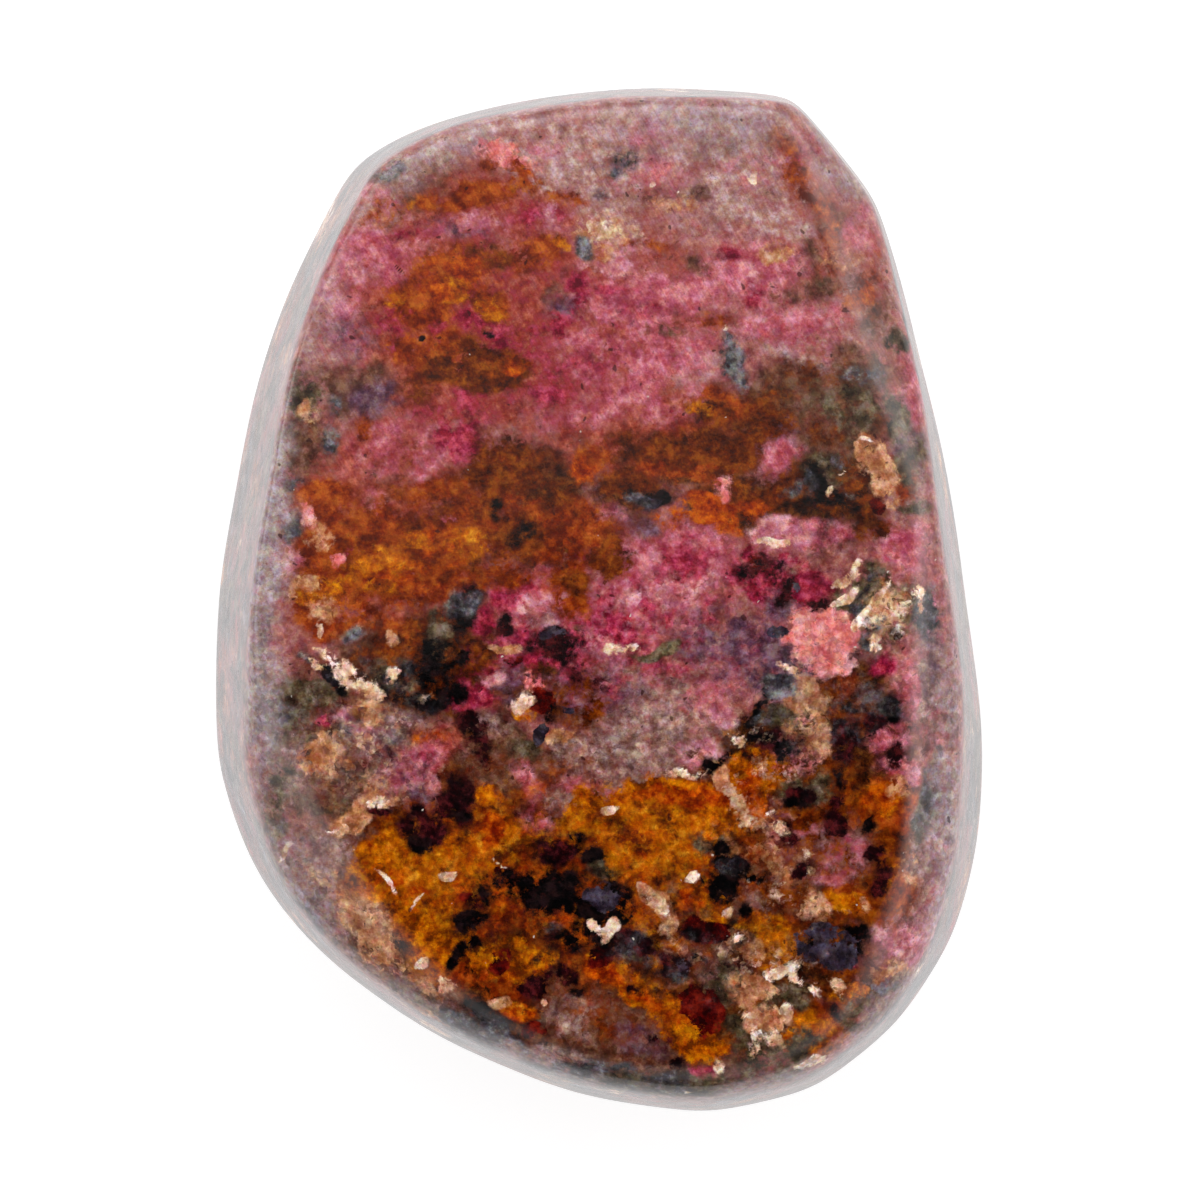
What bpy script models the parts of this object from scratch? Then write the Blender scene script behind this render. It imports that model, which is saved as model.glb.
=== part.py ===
"""Rhodonite freeform: one polished stone, lying on its flat back.

The stone is seen from above as it lies: +X is its right, +Y its narrow end and +Z its best face.
It was ground on a wheel, so its skin is a set of nearly flat facets with worn edges. Each facet is
a plane, given by where its normal points and how far it lies from the stone's core. A point is on
the skin where the shares of its way to every plane, each raised to that facet's sharpness, add up
to one: a high sharpness leaves a crisp edge and a flat face, and a low one a soft, domed face.
"""

import math
from typing import NamedTuple

import bmesh
import bpy
import numpy as np

MM = 0.001

# Driving dimensions
LENGTH = 64 * MM
WIDTH = 48 * MM
THICKNESS = 26 * MM

# The core is the point that the facets are measured from. It is level with the girth, where the
# upper walls meet the undercut.
CORE_HEIGHT = 11 * MM
TABLE_HEIGHT = 15 * MM
"""Height of the best face above the core."""

UNDERCUT_LEAN = 108
UNDERCUT_SHARPNESS = 60
HEEL_LEAN = 138
HEEL_INSET = 6.5 * MM
"""How far inside the girth the heel facets reach the flat back."""
HEEL_SHARPNESS = 30
BACK_SHARPNESS = 200

GRIND_SUBDIVISIONS = 7
KEPT_SHARE = 0.085
"""Share of the ground surface's triangles kept: flats lose the most and edges the fewest."""
FLAT_WITHIN = 0.03 * MM
"""How near the back's plane a point lies to be set in it."""
SHADE_SMOOTH_BELOW = math.radians(25)
SOLVER_STEPS = 12
LEAST_SHARE = 1e-9

STONE_COLOUR = (0.46, 0.16, 0.15, 1.0)
STONE_ROUGHNESS = 0.14


class Face(NamedTuple):
    """A face near the top: its azimuth and its lean from +Z in degrees, its distance and sharpness."""

    azimuth: float
    lean: float
    distance: float
    sharpness: float


class Wall(NamedTuple):
    """A side: its azimuth in degrees, its reach at the girth, its lean above it and its sharpness."""

    azimuth: float
    reach: float
    lean: float
    sharpness: float


# The best face is two shallow faces that meet across the middle. Distances are from the core.
TABLES = (
    Face(azimuth=100, lean=3, distance=14.9 * MM, sharpness=50),
    Face(azimuth=-80, lean=2, distance=15.0 * MM, sharpness=50),
)

# Shoulders break the edge of the best face. Their distance is where each would meet the table's
# height, measured from the core across the stone.
SHOULDERS = (
    Face(azimuth=22.9, lean=33, distance=20.0 * MM, sharpness=90),
    Face(azimuth=-3, lean=34, distance=19.1 * MM, sharpness=90),
    Face(azimuth=-21, lean=36, distance=22.8 * MM, sharpness=60),
    Face(azimuth=-42, lean=40, distance=28.1 * MM, sharpness=50),
    Face(azimuth=-66, lean=42, distance=30.1 * MM, sharpness=50),
    Face(azimuth=-92, lean=44, distance=29.2 * MM, sharpness=60),
    Face(azimuth=-112, lean=42, distance=26.2 * MM, sharpness=60),
    Face(azimuth=-128, lean=38, distance=24.0 * MM, sharpness=60),
    Face(azimuth=-146, lean=32, distance=21.0 * MM, sharpness=50),
    Face(azimuth=-163, lean=32, distance=20.9 * MM, sharpness=50),
    Face(azimuth=97, lean=58, distance=29.9 * MM, sharpness=90),
    Face(azimuth=118, lean=62, distance=29.7 * MM, sharpness=70),
    # Rims round off the foot's edge, between its shoulders and its walls.
    Face(azimuth=-35, lean=62, distance=28.8 * MM, sharpness=60),
    Face(azimuth=-60, lean=62, distance=31.2 * MM, sharpness=60),
    Face(azimuth=-90, lean=64, distance=30.5 * MM, sharpness=60),
    Face(azimuth=-116, lean=62, distance=27.3 * MM, sharpness=60),
    Face(azimuth=-136, lean=60, distance=26.0 * MM, sharpness=60),
)

WALLS = (
    Wall(azimuth=99, reach=31.9 * MM, lean=86, sharpness=110),
    Wall(azimuth=88, reach=32.5 * MM, lean=86, sharpness=90),
    Wall(azimuth=70, reach=34.1 * MM, lean=87, sharpness=60),
    Wall(azimuth=38.5, reach=29.3 * MM, lean=88, sharpness=120),
    Wall(azimuth=20, reach=24.95 * MM, lean=88.5, sharpness=100),
    Wall(azimuth=13.5, reach=23.2 * MM, lean=87, sharpness=120),
    Wall(azimuth=7.5, reach=22.9 * MM, lean=84.5, sharpness=120),
    Wall(azimuth=-3, reach=24.75 * MM, lean=82, sharpness=120),
    Wall(azimuth=-15, reach=27.25 * MM, lean=82, sharpness=90),
    Wall(azimuth=-32, reach=30.4 * MM, lean=84, sharpness=90),
    Wall(azimuth=-52, reach=32.9 * MM, lean=85, sharpness=90),
    Wall(azimuth=-76, reach=33.5 * MM, lean=85, sharpness=90),
    Wall(azimuth=-98, reach=31.5 * MM, lean=85, sharpness=90),
    Wall(azimuth=-112, reach=29.8 * MM, lean=85, sharpness=90),
    Wall(azimuth=-124, reach=28.8 * MM, lean=85, sharpness=90),
    Wall(azimuth=-136, reach=28.2 * MM, lean=84, sharpness=90),
    Wall(azimuth=-149, reach=27.45 * MM, lean=83, sharpness=90),
    Wall(azimuth=-163, reach=26.0 * MM, lean=81, sharpness=90),
    Wall(azimuth=180, reach=24.05 * MM, lean=80.5, sharpness=110),
    Wall(azimuth=170, reach=23.7 * MM, lean=80.5, sharpness=110),
    Wall(azimuth=161, reach=24.9 * MM, lean=81.5, sharpness=110),
    Wall(azimuth=152.5, reach=26.45 * MM, lean=82.5, sharpness=110),
    Wall(azimuth=127, reach=31.25 * MM, lean=84, sharpness=80),
    Wall(azimuth=110, reach=31.95 * MM, lean=86, sharpness=80),
)


def clear_scene():
    """Removes every object that the file already holds."""
    for obj in list(bpy.data.objects):
        bpy.data.objects.remove(obj, do_unlink=True)


def plane(azimuth, lean, across, height, sharpness):
    """One facet as (normal x, y, z, distance, sharpness): the plane of that azimuth and lean in
    degrees through the point that lies across the stone by one length and above the core by another."""
    turn, tip = math.radians(azimuth), math.radians(lean)
    distance = across * math.sin(tip) + height * math.cos(tip)
    return (
        math.sin(tip) * math.cos(turn),
        math.sin(tip) * math.sin(turn),
        math.cos(tip),
        distance,
        sharpness,
    )


def all_planes():
    """Every facet of the stone as rows of plane(), the flat back first."""
    rows = [plane(0, 180, 0, -CORE_HEIGHT, BACK_SHARPNESS)]
    for face in TABLES:
        tip = math.radians(face.lean)
        across, height = face.distance * math.sin(tip), face.distance * math.cos(tip)
        rows.append(plane(face.azimuth, face.lean, across, height, face.sharpness))
    for face in SHOULDERS:
        rows.append(plane(face.azimuth, face.lean, face.distance, TABLE_HEIGHT, face.sharpness))
    for wall in WALLS:
        foot = wall.reach - HEEL_INSET
        rows.append(plane(wall.azimuth, wall.lean, wall.reach, 0, wall.sharpness))
        rows.append(plane(wall.azimuth, UNDERCUT_LEAN, wall.reach, 0, UNDERCUT_SHARPNESS))
        rows.append(plane(wall.azimuth, HEEL_LEAN, foot, -CORE_HEIGHT, HEEL_SHARPNESS))
    return np.array(rows)


def skin_distance(directions):
    """How far the skin lies from the core along each unit direction.

    With the share of the way to a plane as reach times the direction's part along its normal over
    its distance, it solves sum(share ** sharpness) = 1 for the reach by Newton's method on logs.
    """
    planes = all_planes()
    normals, distances, sharpness = planes[:, :3], planes[:, 3], planes[:, 4]
    share = np.maximum(directions @ normals.T, LEAST_SHARE) / distances
    log_share = np.log(share)
    log_reach = -log_share.max(axis=1)
    for _ in range(SOLVER_STEPS):
        power = sharpness * (log_share + log_reach[:, None])
        top = power.max(axis=1)
        weight = np.exp(power - top[:, None])
        total = weight.sum(axis=1)
        slope = (sharpness * weight).sum(axis=1) / total
        log_reach -= (top + np.log(total)) / slope
    return np.exp(log_reach)


def ground_mesh():
    """A fine closed ball, its points spread in the stone's proportions and set on the stone's skin."""
    mesh = bpy.data.meshes.new("ground")
    shape = bmesh.new()
    bmesh.ops.create_icosphere(shape, subdivisions=GRIND_SUBDIVISIONS, radius=1)
    points = np.array([vert.co for vert in shape.verts]) * (WIDTH, LENGTH, THICKNESS)
    directions = points / np.linalg.norm(points, axis=1)[:, None]
    skin = directions * skin_distance(directions)[:, None]
    for vert, point in zip(shape.verts, skin):
        vert.co = point
    shape.to_mesh(mesh)
    shape.free()
    return mesh


def thinned(mesh):
    """The mesh with fewer triangles, as a Decimate modifier leaves it: edges keep their detail."""
    rough = bpy.data.objects.new("rough", mesh)
    bpy.context.scene.collection.objects.link(rough)
    decimate = rough.modifiers.new("thin", "DECIMATE")
    decimate.ratio = KEPT_SHARE
    graph = bpy.context.evaluated_depsgraph_get()
    kept = bpy.data.meshes.new_from_object(rough.evaluated_get(graph))
    bpy.data.objects.remove(rough, do_unlink=True)
    bpy.data.meshes.remove(mesh)
    return kept


def level_back(shape):
    """Sets every point of the back exactly in one plane, for the stone to rest on."""
    for vert in shape.verts:
        if vert.co.z < FLAT_WITHIN - CORE_HEIGHT:
            vert.co.z = -CORE_HEIGHT


def bring_to_size(shape):
    """Brings the stone to its exact size, with the origin under the middle of its box."""
    points = np.array([vert.co for vert in shape.verts])
    low, high = points.min(axis=0), points.max(axis=0)
    scale = np.array((WIDTH, LENGTH, THICKNESS)) / (high - low)
    origin = np.array(((low[0] + high[0]) / 2, (low[1] + high[1]) / 2, low[2]))
    for vert, point in zip(shape.verts, points):
        vert.co = (point - origin) * scale


def stone_material():
    """The plain finish of the solid: dusky rose, polished."""
    material = bpy.data.materials.new("polished_rhodonite")
    material.use_nodes = True
    shader = material.node_tree.nodes["Principled BSDF"]
    shader.inputs["Base Color"].default_value = STONE_COLOUR
    shader.inputs["Roughness"].default_value = STONE_ROUGHNESS
    shader.inputs["Metallic"].default_value = 0.0
    return material


def make_stone():
    """The stone: ground to its facets, its back levelled, and brought to size."""
    mesh = thinned(ground_mesh())
    mesh.name = "stone"
    shape = bmesh.new()
    shape.from_mesh(mesh)
    level_back(shape)
    bring_to_size(shape)
    shape.to_mesh(mesh)
    shape.free()
    mesh.shade_smooth()
    mesh.set_sharp_from_angle(angle=SHADE_SMOOTH_BELOW)
    mesh.materials.append(stone_material())
    stone = bpy.data.objects.new("stone", mesh)
    bpy.context.scene.collection.objects.link(stone)
    return stone


clear_scene()
make_stone()
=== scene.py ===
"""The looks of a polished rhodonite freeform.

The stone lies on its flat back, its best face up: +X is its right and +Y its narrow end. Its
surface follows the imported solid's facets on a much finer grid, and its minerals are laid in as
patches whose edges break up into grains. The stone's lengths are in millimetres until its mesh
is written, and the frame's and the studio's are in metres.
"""

import logging
import math
from collections.abc import Mapping
from dataclasses import dataclass, field
from enum import Enum
from typing import Any

import bpy
import numpy as np
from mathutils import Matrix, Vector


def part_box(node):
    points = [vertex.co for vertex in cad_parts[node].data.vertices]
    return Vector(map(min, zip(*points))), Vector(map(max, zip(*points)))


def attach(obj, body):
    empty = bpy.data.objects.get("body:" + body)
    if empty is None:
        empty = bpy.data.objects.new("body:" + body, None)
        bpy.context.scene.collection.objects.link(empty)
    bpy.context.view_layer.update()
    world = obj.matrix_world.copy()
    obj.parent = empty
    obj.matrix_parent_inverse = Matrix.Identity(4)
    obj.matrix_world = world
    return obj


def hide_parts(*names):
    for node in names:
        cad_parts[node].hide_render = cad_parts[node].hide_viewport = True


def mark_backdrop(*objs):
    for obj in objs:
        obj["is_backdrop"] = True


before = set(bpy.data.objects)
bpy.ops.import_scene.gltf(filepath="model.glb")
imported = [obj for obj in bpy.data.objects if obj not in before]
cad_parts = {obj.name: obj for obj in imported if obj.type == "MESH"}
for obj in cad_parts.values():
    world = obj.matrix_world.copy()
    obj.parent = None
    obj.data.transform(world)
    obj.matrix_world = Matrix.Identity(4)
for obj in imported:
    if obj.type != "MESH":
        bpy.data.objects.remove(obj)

Array = np.ndarray
Colour = tuple[float, float, float]

MM_TO_M = 0.001
LOG = logging.getLogger("rhodonite")


class Mineral(Enum):
    """What the stone is made of, from the lowest layer to the topmost. The last layer is no mineral but a
    painted reflection: the pale veil that the rims and shoulders show where their polish mirrors the bright
    table."""

    EARTH = "earth"
    BRICK = "brick"
    GREIGE = "greige"
    BROWN = "brown"
    ROSE = "rose"
    GREY = "grey"
    PLUM = "plum"
    MAGENTA = "magenta"
    BLUSH = "blush"
    RUST = "rust"
    UMBER = "umber"
    AMBER = "amber"
    GOLD = "gold"
    EMBER = "ember"
    OLIVE = "olive"
    CORAL = "coral"
    PEACH = "peach"
    GARNET = "garnet"
    MAROON = "maroon"
    BLACK = "black"
    VIOLET = "violet"
    SLATE = "slate"
    CREAM = "cream"
    HAZE = "haze"


@dataclass(frozen=True)
class Patch:
    """A lens of one mineral: its middle, its half lengths, its turn from +X in degrees and how
    fully it is filled. Over 0.5 it is whole, and under that it is a scatter of grains."""

    x: float
    y: float
    long: float
    wide: float
    turn: float = 0
    weight: float = 1


def patches(*rows: tuple[float, ...]) -> tuple[Patch, ...]:
    """One mineral's patches, each row with the values of a Patch in their order."""
    return tuple(Patch(*row) for row in rows)


PATCHES: Mapping[Mineral, tuple[Patch, ...]] = {
    Mineral.EARTH: patches(
        (-8.5, -4, 5.5, 4.5, 0, 0.9), (15, 7.5, 4, 5, 0, 0.8), (-17, -8, 5, 6, 0, 0.6),
        (-5, 6, 8, 4, 10, 0.7), (4, 9, 6, 3, 0, 0.7), (14.5, 6.5, 3, 2.6, -30, 1.1),
        (-2, 2.6, 2.6, 2, 0, 0.9), (1.2, 6.2, 2.6, 1.8, 0, 0.9), (-2, -4.6, 4, 3.2, 0, 0.95),
        (-8, -9.6, 3.4, 3.4), (10.2, -8.8, 3.4, 1.9, 0, 1.1), (1, -5.6, 3, 1.6, 0, 0.6),
        (0, -26.6, 7, 2.6, -5, 1.1), (-1, -19.5, 16, 9, -4, 1.6), (15.4, -12.5, 4.4, 8.5, 0, 1.3),
        (1, 5.4, 2.4, 1.4), (10, 11.5, 3, 2.6), (-8, 15.4, 5, 2.4, 0, 0.8), (13, 6, 2.4, 2, 0, 1.5),
        (5.5, 9, 5, 2, 0, 1.1), (-8, 1, 3, 1.5, 0, 0.9), (-11, -4, 4, 3, 0, 1.4),
        (9, 6, 3.5, 2, 0, 1.1), (1, 4, 3, 2, 0, 0.8), (-4.6, 7, 4.4, 2.6),
    ),
    Mineral.BRICK: patches(
        (-8, 20, 9, 8), (-1, 14, 7, 5, -10, 0.9), (-14, 22, 4, 6, 0, 0.7), (3.5, 20, 5, 2.5, 0, 0.6),
        (-6, 27, 7, 2.5, -5, 0.7), (2, 11, 6, 3, 0, 0.8), (-14, 4, 8, 6, 0, 0.8),
        (4, 2.5, 5, 3, 0, 0.6), (14, 22, 3, 6, 20, 0.6), (16, 17, 2.5, 3, 0, 0.6),
        (0, 23, 4, 3, 0, 0.6), (-2, 15.5, 3.4, 4.5, 0, 1.1), (-12, 12.6, 3, 1.4),
        (-5, 12.2, 3, 1.2, 0, 0.9), (-13.5, 9, 3, 2, 0, 1.1), (-11.5, 15, 4, 3, 0, 1.1),
        (-4, 14.5, 4, 3, 0, 1.1), (2, 15, 4, 2.5), (-8, 12.2, 4, 1.4, 0, 1.2),
        (-10.8, -9, 2.2, 1.4, 0, 1.3),
    ),
    Mineral.GREIGE: patches(
        (-5, 29.4, 6.5, 1.1, 12, 0.9), (4.5, 28.5, 7.5, 2.6, 0, 0.75), (8.5, 25.5, 4.5, 2.8, 0, 0.9),
        (0.5, 25.5, 2, 2.2, 50, 0.8), (1, 22.8, 1.8, 1.6, 0, 0.8), (12.5, 16.8, 2.6, 1.4, 0, 0.8),
        (6.2, 14.6, 1.5, 1.3, 0, 0.8), (11.3, 23.2, 2.2, 1.6, 0, 0.7), (16.5, 19, 2, 3.2, 15, 0.6),
        (-16.8, 15, 1.6, 2.6, 0, 0.5), (-14.5, 25.5, 1.2, 1.8, -20, 0.7),
        (14.8, -15.3, 2.2, 1.8, 0, 0.5), (20.6, -14, 1.2, 6, 0, 0.6), (-19.5, -16.5, 2, 4, 30, 0.6),
        (-2, 27.5, 3.4, 1.5, 10, 1.2), (-11.2, 27.4, 2.6, 1.2, 28, 1.2), (10.6, 29.8, 2.6, 1, -14, 1.2),
        (-14.2, 24.6, 1.6, 1.6), (-2.2, 27.2, 3.2, 1.8, 0, 1.6), (9.8, -18.2, 1.6, 1),
        (13, -15.4, 1.6, 1.2, 0, 1.1), (13.2, 15.8, 2.4, 1.2, 0, 1.2),
    ),
    Mineral.BROWN: patches(
        (-10.5, 26.5, 2.6, 1.2, 10, 0.55), (-11.3, 24.6, 1.5, 0.8, 0, 0.7), (-3, 19, 0.8, 0.8, 0, 0.7),
        (5.2, 25.2, 3.2, 0.6, 5, 0.6), (7.5, 28.4, 2.2, 0.9, 0, 0.5), (14.3, 23.6, 1.5, 0.9, -60, 0.9),
        (13, 21, 0.9, 1.4, 0, 0.8), (14, 19.3, 1.7, 1, 0, 0.75), (11.6, 18.6, 1.8, 0.5, -5, 0.75),
        (6.2, 20.8, 1.8, 0.6, -35, 0.65), (8, 17.5, 1.8, 0.5, 0, 0.7), (4.3, 16.6, 1.3, 0.6, 0, 0.75),
        (9.8, 16, 0.9, 0.9, 0, 0.7), (16, 14.3, 2.4, 1.3), (14.4, 10.8, 3.2, 1.5, 0, 0.95),
        (-18.3, 9.2, 1.7, 2.1, 0, 0.8), (-14.2, 7.8, 0.6, 0.6, 0, 0.8), (-19.3, -4.9, 1.2, 1, 0, 0.7),
        (-14.6, -3, 1.8, 1.3, 0, 0.9), (-17.5, -11.8, 2.2, 1.8, 0, 0.8),
        (1.8, -26.8, 3.2, 2.2, -10, 0.95), (-1.5, -25.8, 2.8, 2.4, 0, 0.9),
        (12.6, -17.8, 1.4, 1.4, 0, 0.7), (-2.8, 4.5, 0.9, 0.8, 0, 0.5), (17.4, 17.4, 1.3, 1.8, 0, 0.6),
        (-0.3, 22, 1, 0.6, 0, 0.6), (-15.4, 13, 2.3, 1.7, 0, 0.9), (2, -29.5, 6, 1.4, 0, 1.1),
        (-6.6, -9.6, 2, 2.4, 0, 1.1), (12.3, -18, 1.4, 1.3, 0, 1.2), (13.4, 12.9, 3.6, 1.5, -10),
    ),
    Mineral.ROSE: patches(
        (-15.3, 20.3, 1.8, 1.4, 0, 0.8), (9.3, 20.3, 3.2, 1.7), (2.6, 18.6, 4.2, 1.7, -5),
        (3, 29.2, 2.4, 1, 0, 0.6), (3.5, 26.2, 2.4, 1.2, 10, 0.6), (4.5, 12.2, 2.4, 1.4, 0, 0.8),
        (16.3, 23.2, 1.2, 1.2, 0, 0.6), (14, 17, 1.6, 0.9, 0, 0.7), (19.4, 13.4, 0.8, 2.4, 10),
        (-9.5, 5, 1.8, 1.1, 0, 0.7), (-13.8, 5.9, 0.9, 0.9, 0, 0.7), (-20.4, 3.6, 0.9, 2.9, 0, 0.95),
        (5.2, 2.6, 2.8, 1.9), (1.5, 0.4, 2.6, 0.9, 0, 0.9), (14, 4.1, 1.9, 0.9, -5, 0.9),
        (19.2, 3.4, 1.6, 1.5, 0, 0.9), (19.6, -5.8, 1.1, 1.9, 0, 0.8), (18, -8.6, 1.2, 0.9, 0, 0.8),
        (18.6, -10.6, 1.2, 1, 0, 0.9), (6, -5.6, 2.4, 0.8, 0, 0.7), (-11.8, -10.6, 2, 1.5, 15),
        (-4.2, -11.6, 0.8, 1.7, 20), (-3.7, -13.8, 1.3, 0.9, 0, 0.9), (12, -9.6, 1.4, 0.9, -20, 0.7),
        (11.9, -13.2, 1.6, 0.7, -25, 0.9), (-18.6, -15.6, 0.9, 0.9, 0, 0.7),
        (-12.5, -8.2, 2.4, 0.8, 0, 0.5), (-13.5, 21.5, 3, 2), (-16.3, 18, 1.3, 3.2, 10, 0.8),
        (-9.6, 22.8, 4, 0.8, 0, 0.7), (3, 18.2, 4.6, 2.2), (9.8, 19.6, 2, 1.2),
        (2, 15.4, 5, 2, 0, 0.85), (11.6, 16.8, 2.8, 1.2, 0, 0.8), (13.6, 17, 2, 1.5, 0, 0.7),
        (1.4, -0.6, 2.8, 1.3, -10, 1.3), (15.3, -15.8, 1.6, 1.2, 0, 0.6),
        (11.5, -14.6, 1.2, 0.8, 0, 0.6), (-1.4, 11.8, 3, 1.2, -8, 0.7), (2.4, 13.4, 2.4, 1.8, 0, 0.8),
        (4.9, 2.4, 3.2, 2), (-12.2, 9.4, 3.2, 1.8, 0, 0.72), (-3.8, 1.3, 1.4, 0.6, 10, 0.7),
        (0.4, 4.9, 1.8, 0.8, -20, 0.6), (11.2, 8.9, 1.6, 1.3, 0, 0.75), (1, -11.6, 3.4, 0.8),
        (12.6, -15, 1.5, 1, 0, 1.1), (20.8, -1.4, 0.7, 2.6), (20.9, -6, 0.7, 3),
    ),
    Mineral.GREY: patches(
        (1.4, -9.8, 4.2, 1.6), (6.4, -3.2, 2.6, 1.2, 0, 0.8), (15.6, 26.2, 1.6, 0.9, -55, 0.7),
        (14, 28.5, 1.2, 0.7, -45, 0.7), (-13, -7.8, 3, 1.1, -10, 0.8),
        (-16.6, -16.6, 2.6, 2.4, -30, 0.9), (-19, -10.5, 2.2, 2.6, 0, 0.7),
        (0.4, -16.2, 0.7, 0.8, 0, 0.8), (7.3, -23, 1.4, 1.2, -40, 0.8), (12.6, 1.3, 1, 0.6, 0, 0.8),
        (-11.3, -24.8, 6.5, 1.5, -35, 0.7), (20.3, -18.5, 1.4, 4, -12, 0.7),
        (18.8, -24.5, 3.5, 1.2, 55, 0.8), (2, -10.4, 3, 1.1, 0, 1.3), (3.2, -7.6, 4, 3),
        (-6.6, -7.6, 1.3, 0.9, 0, 0.7), (19.2, 8.4, 1.1, 3.4), (20.8, -4.5, 0.9, 4, 0, 0.9),
        (-15, -23.2, 5, 1.2, -38, 1.2), (8, -31, 5, 0.6, 4), (18.5, -25, 4, 1, 52, 1.1),
        (-17.6, -19, 3.5, 1.2, -55, 1.1), (-4, -28.9, 4, 1, -10, 1.2), (-18, -17.2, 1.8, 1.6, 0, 1.1),
        (-1.8, -26, 1.8, 1.3, 0, 0.8), (20.4, -15, 1.2, 4, -5), (-1.8, -12.2, 2, 0.8),
    ),
    Mineral.PLUM: patches(
        (10.9, -13.2, 0.7, 0.6, 0, 0.9), (-8.6, 22.9, 2.6, 0.8, -10, 0.7),
        (-14.8, 16.4, 2.4, 1.1, -10, 0.6), (-2.2, 18.2, 1.4, 0.8, 0, 0.5),
        (-11.8, -12.6, 2.2, 1.6, 0, 0.8), (2.7, 4.6, 1.2, 0.7, 0, 0.7), (11.3, 10.4, 1, 1.2, 0, 0.6),
        (3, -27.3, 1.8, 1, 0, 0.6), (-5.2, -4.9, 1.6, 1.3, 0, 0.7), (9, -3.3, 4.2, 2.2, -25),
        (0, -5.4, 2.6, 1.6, 0, 0.8), (20.6, -4, 0.8, 3, 0, 0.5), (11.6, -0.2, 1.6, 1, -20, 0.9),
        (-1.8, 5.4, 1.2, 0.6, 0, 0.6), (12.5, -15.6, 1.6, 0.9, 0, 0.9), (-14, 12.4, 2, 1.2, 0, 0.8),
        (-5.6, 0.6, 1.4, 0.8, 0, 0.9), (19.2, 9.4, 0.9, 1.7, 0, 0.9),
    ),
    Mineral.MAGENTA: patches(
        (-3.4, 23.8, 1.6, 0.8, 0, 0.75), (-12.6, 22.9, 1.5, 0.5, 0, 0.6),
        (-1.3, 19.3, 0.9, 1.6, 0, 0.9), (-6.4, 16.1, 2.2, 0.8, -15), (0.8, 19.3, 1.8, 0.5, 0, 0.7),
        (8.2, 21.2, 0.9, 0.4, 0, 0.6), (12.4, 27.6, 0.9, 1.3, 0, 0.7), (-9, 9.8, 1.5, 1.1),
        (-7.4, -1.3, 1.1, 0.7), (-5.6, -3.5, 1, 0.9, 0, 0.8), (0.6, -1.9, 1.5, 1.2, 0, 1.1),
        (2.9, -0.6, 1.2, 0.4, -25), (4.6, 1.8, 1.8, 1.2, 0, 0.7), (9.7, 2.6, 0.9, 1.2),
        (12.2, 2.4, 1.2, 0.5, -15, 0.9), (-16.8, -7.4, 1, 0.5, 0, 0.9), (17.8, -4.1, 0.9, 0.6, 0, 0.9),
        (-11, -10.3, 1, 0.8, 0, 0.8), (6.3, -29.1, 0.7, 0.6), (-0.6, -2.9, 0.7, 1),
        (-15.8, 3.2, 0.8, 0.6, 0, 0.7), (4.3, 12, 1.2, 0.7, 0, 0.6), (2.8, 18, 2, 0.7, 0, 0.6),
        (16, -23, 1.2, 0.4, 0, 0.8), (-8.2, 17.1, 4.6, 1, -8), (-12, 15.2, 1.2, 1, 0, 0.55),
        (-2.5, 16.5, 1.6, 0.8, 0, 0.6), (-2, -4, 1.4, 0.7, -30, 0.9), (-4.6, -2, 1.2, 0.5, 20, 0.8),
        (-6, 19, 9, 8, 0, 0.36), (1, -1.5, 9, 5, 0, 0.5), (-9.6, 11.3, 2.8, 1.2, 0, 0.62),
        (-13, 17, 1.8, 0.9, -10, 0.7), (-1.6, 17.4, 1.4, 1.4, 0, 0.7), (-3.6, 12.8, 2, 0.6, -10, 0.6),
        (-3.2, -3.4, 2.2, 0.9, 10), (-5.6, -2.2, 1.2, 1, 0, 0.8), (0.7, -1.6, 1.5, 1.1, 0, 0.9),
        (9.6, 1.2, 1.8, 1.2, -30, 0.8), (5.2, 2.4, 2.8, 1.6, 0, 0.55), (-1.6, -1.2, 1.2, 0.8, 0, 0.8),
        (10.6, 1.4, 2.2, 1.2, -25, 0.9), (-3, 14.5, 5, 4, 0, 0.46), (-8, 12, 3, 1.6, 0, 0.5),
        (13.3, 0.4, 1.3, 1.3, 0, 1.4), (-2.2, -2.9, 2.2, 1.2, 0, 1.2), (1.2, -2.7, 1.6, 0.9, 0, 0.9),
        (-5.2, 0.2, 1.6, 1, 0, 0.9), (10.2, 18.6, 1.8, 1.1, 0, 0.6), (-7.8, -4.9, 1, 1.6, 0, 1.4),
        (-8, -6.2, 1.6, 0.8),
    ),
    Mineral.BLUSH: patches(
        (6.9, 1.3, 0.7, 0.9, 0, 0.9), (11.2, 4.1, 2, 1, -15), (7.5, -7, 1.5, 0.7, -30, 0.8),
        (-10.3, -11.4, 0.6, 0.5, 0, 0.9), (18.8, -21.4, 1.5, 1.6, 30), (14.6, -16.9, 1.8, 0.7, 0, 0.8),
        (19.6, -10.6, 0.9, 0.9, 0, 0.8), (-14.6, 20.6, 1.2, 1.2, 0, 0.6), (9.8, 20, 1.2, 1, 0, 0.6),
        (2, -0.2, 0.9, 0.4, 0, 0.8), (6, -9.6, 1.2, 0.9, -30, 0.8), (-6.8, -5.1, 0.6, 0.5, 0, 0.8),
        (-20.5, 4, 0.8, 2.8, 0, 0.85), (-20.2, 0.4, 0.7, 0.9, 0, 0.7), (1, -2.5, 9, 6, 0, 0.36),
        (13, -14, 5, 6, 0, 0.26), (20.9, -18.5, 0.9, 5, -8, 0.85), (-20.9, 8, 0.7, 4, -3, 0.7),
        (-2.6, 27.6, 2.4, 1.2, 0, 0.5), (4.4, 0.3, 1.6, 0.9, 0, 1.1), (-2, 24, 3, 2, 0, 0.5),
        (-13.8, 24.4, 2, 1.2, 0, 0.8), (1, 21.4, 2.4, 1, 0, 0.8), (10, 27, 3, 1.6, 0, 0.5),
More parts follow.
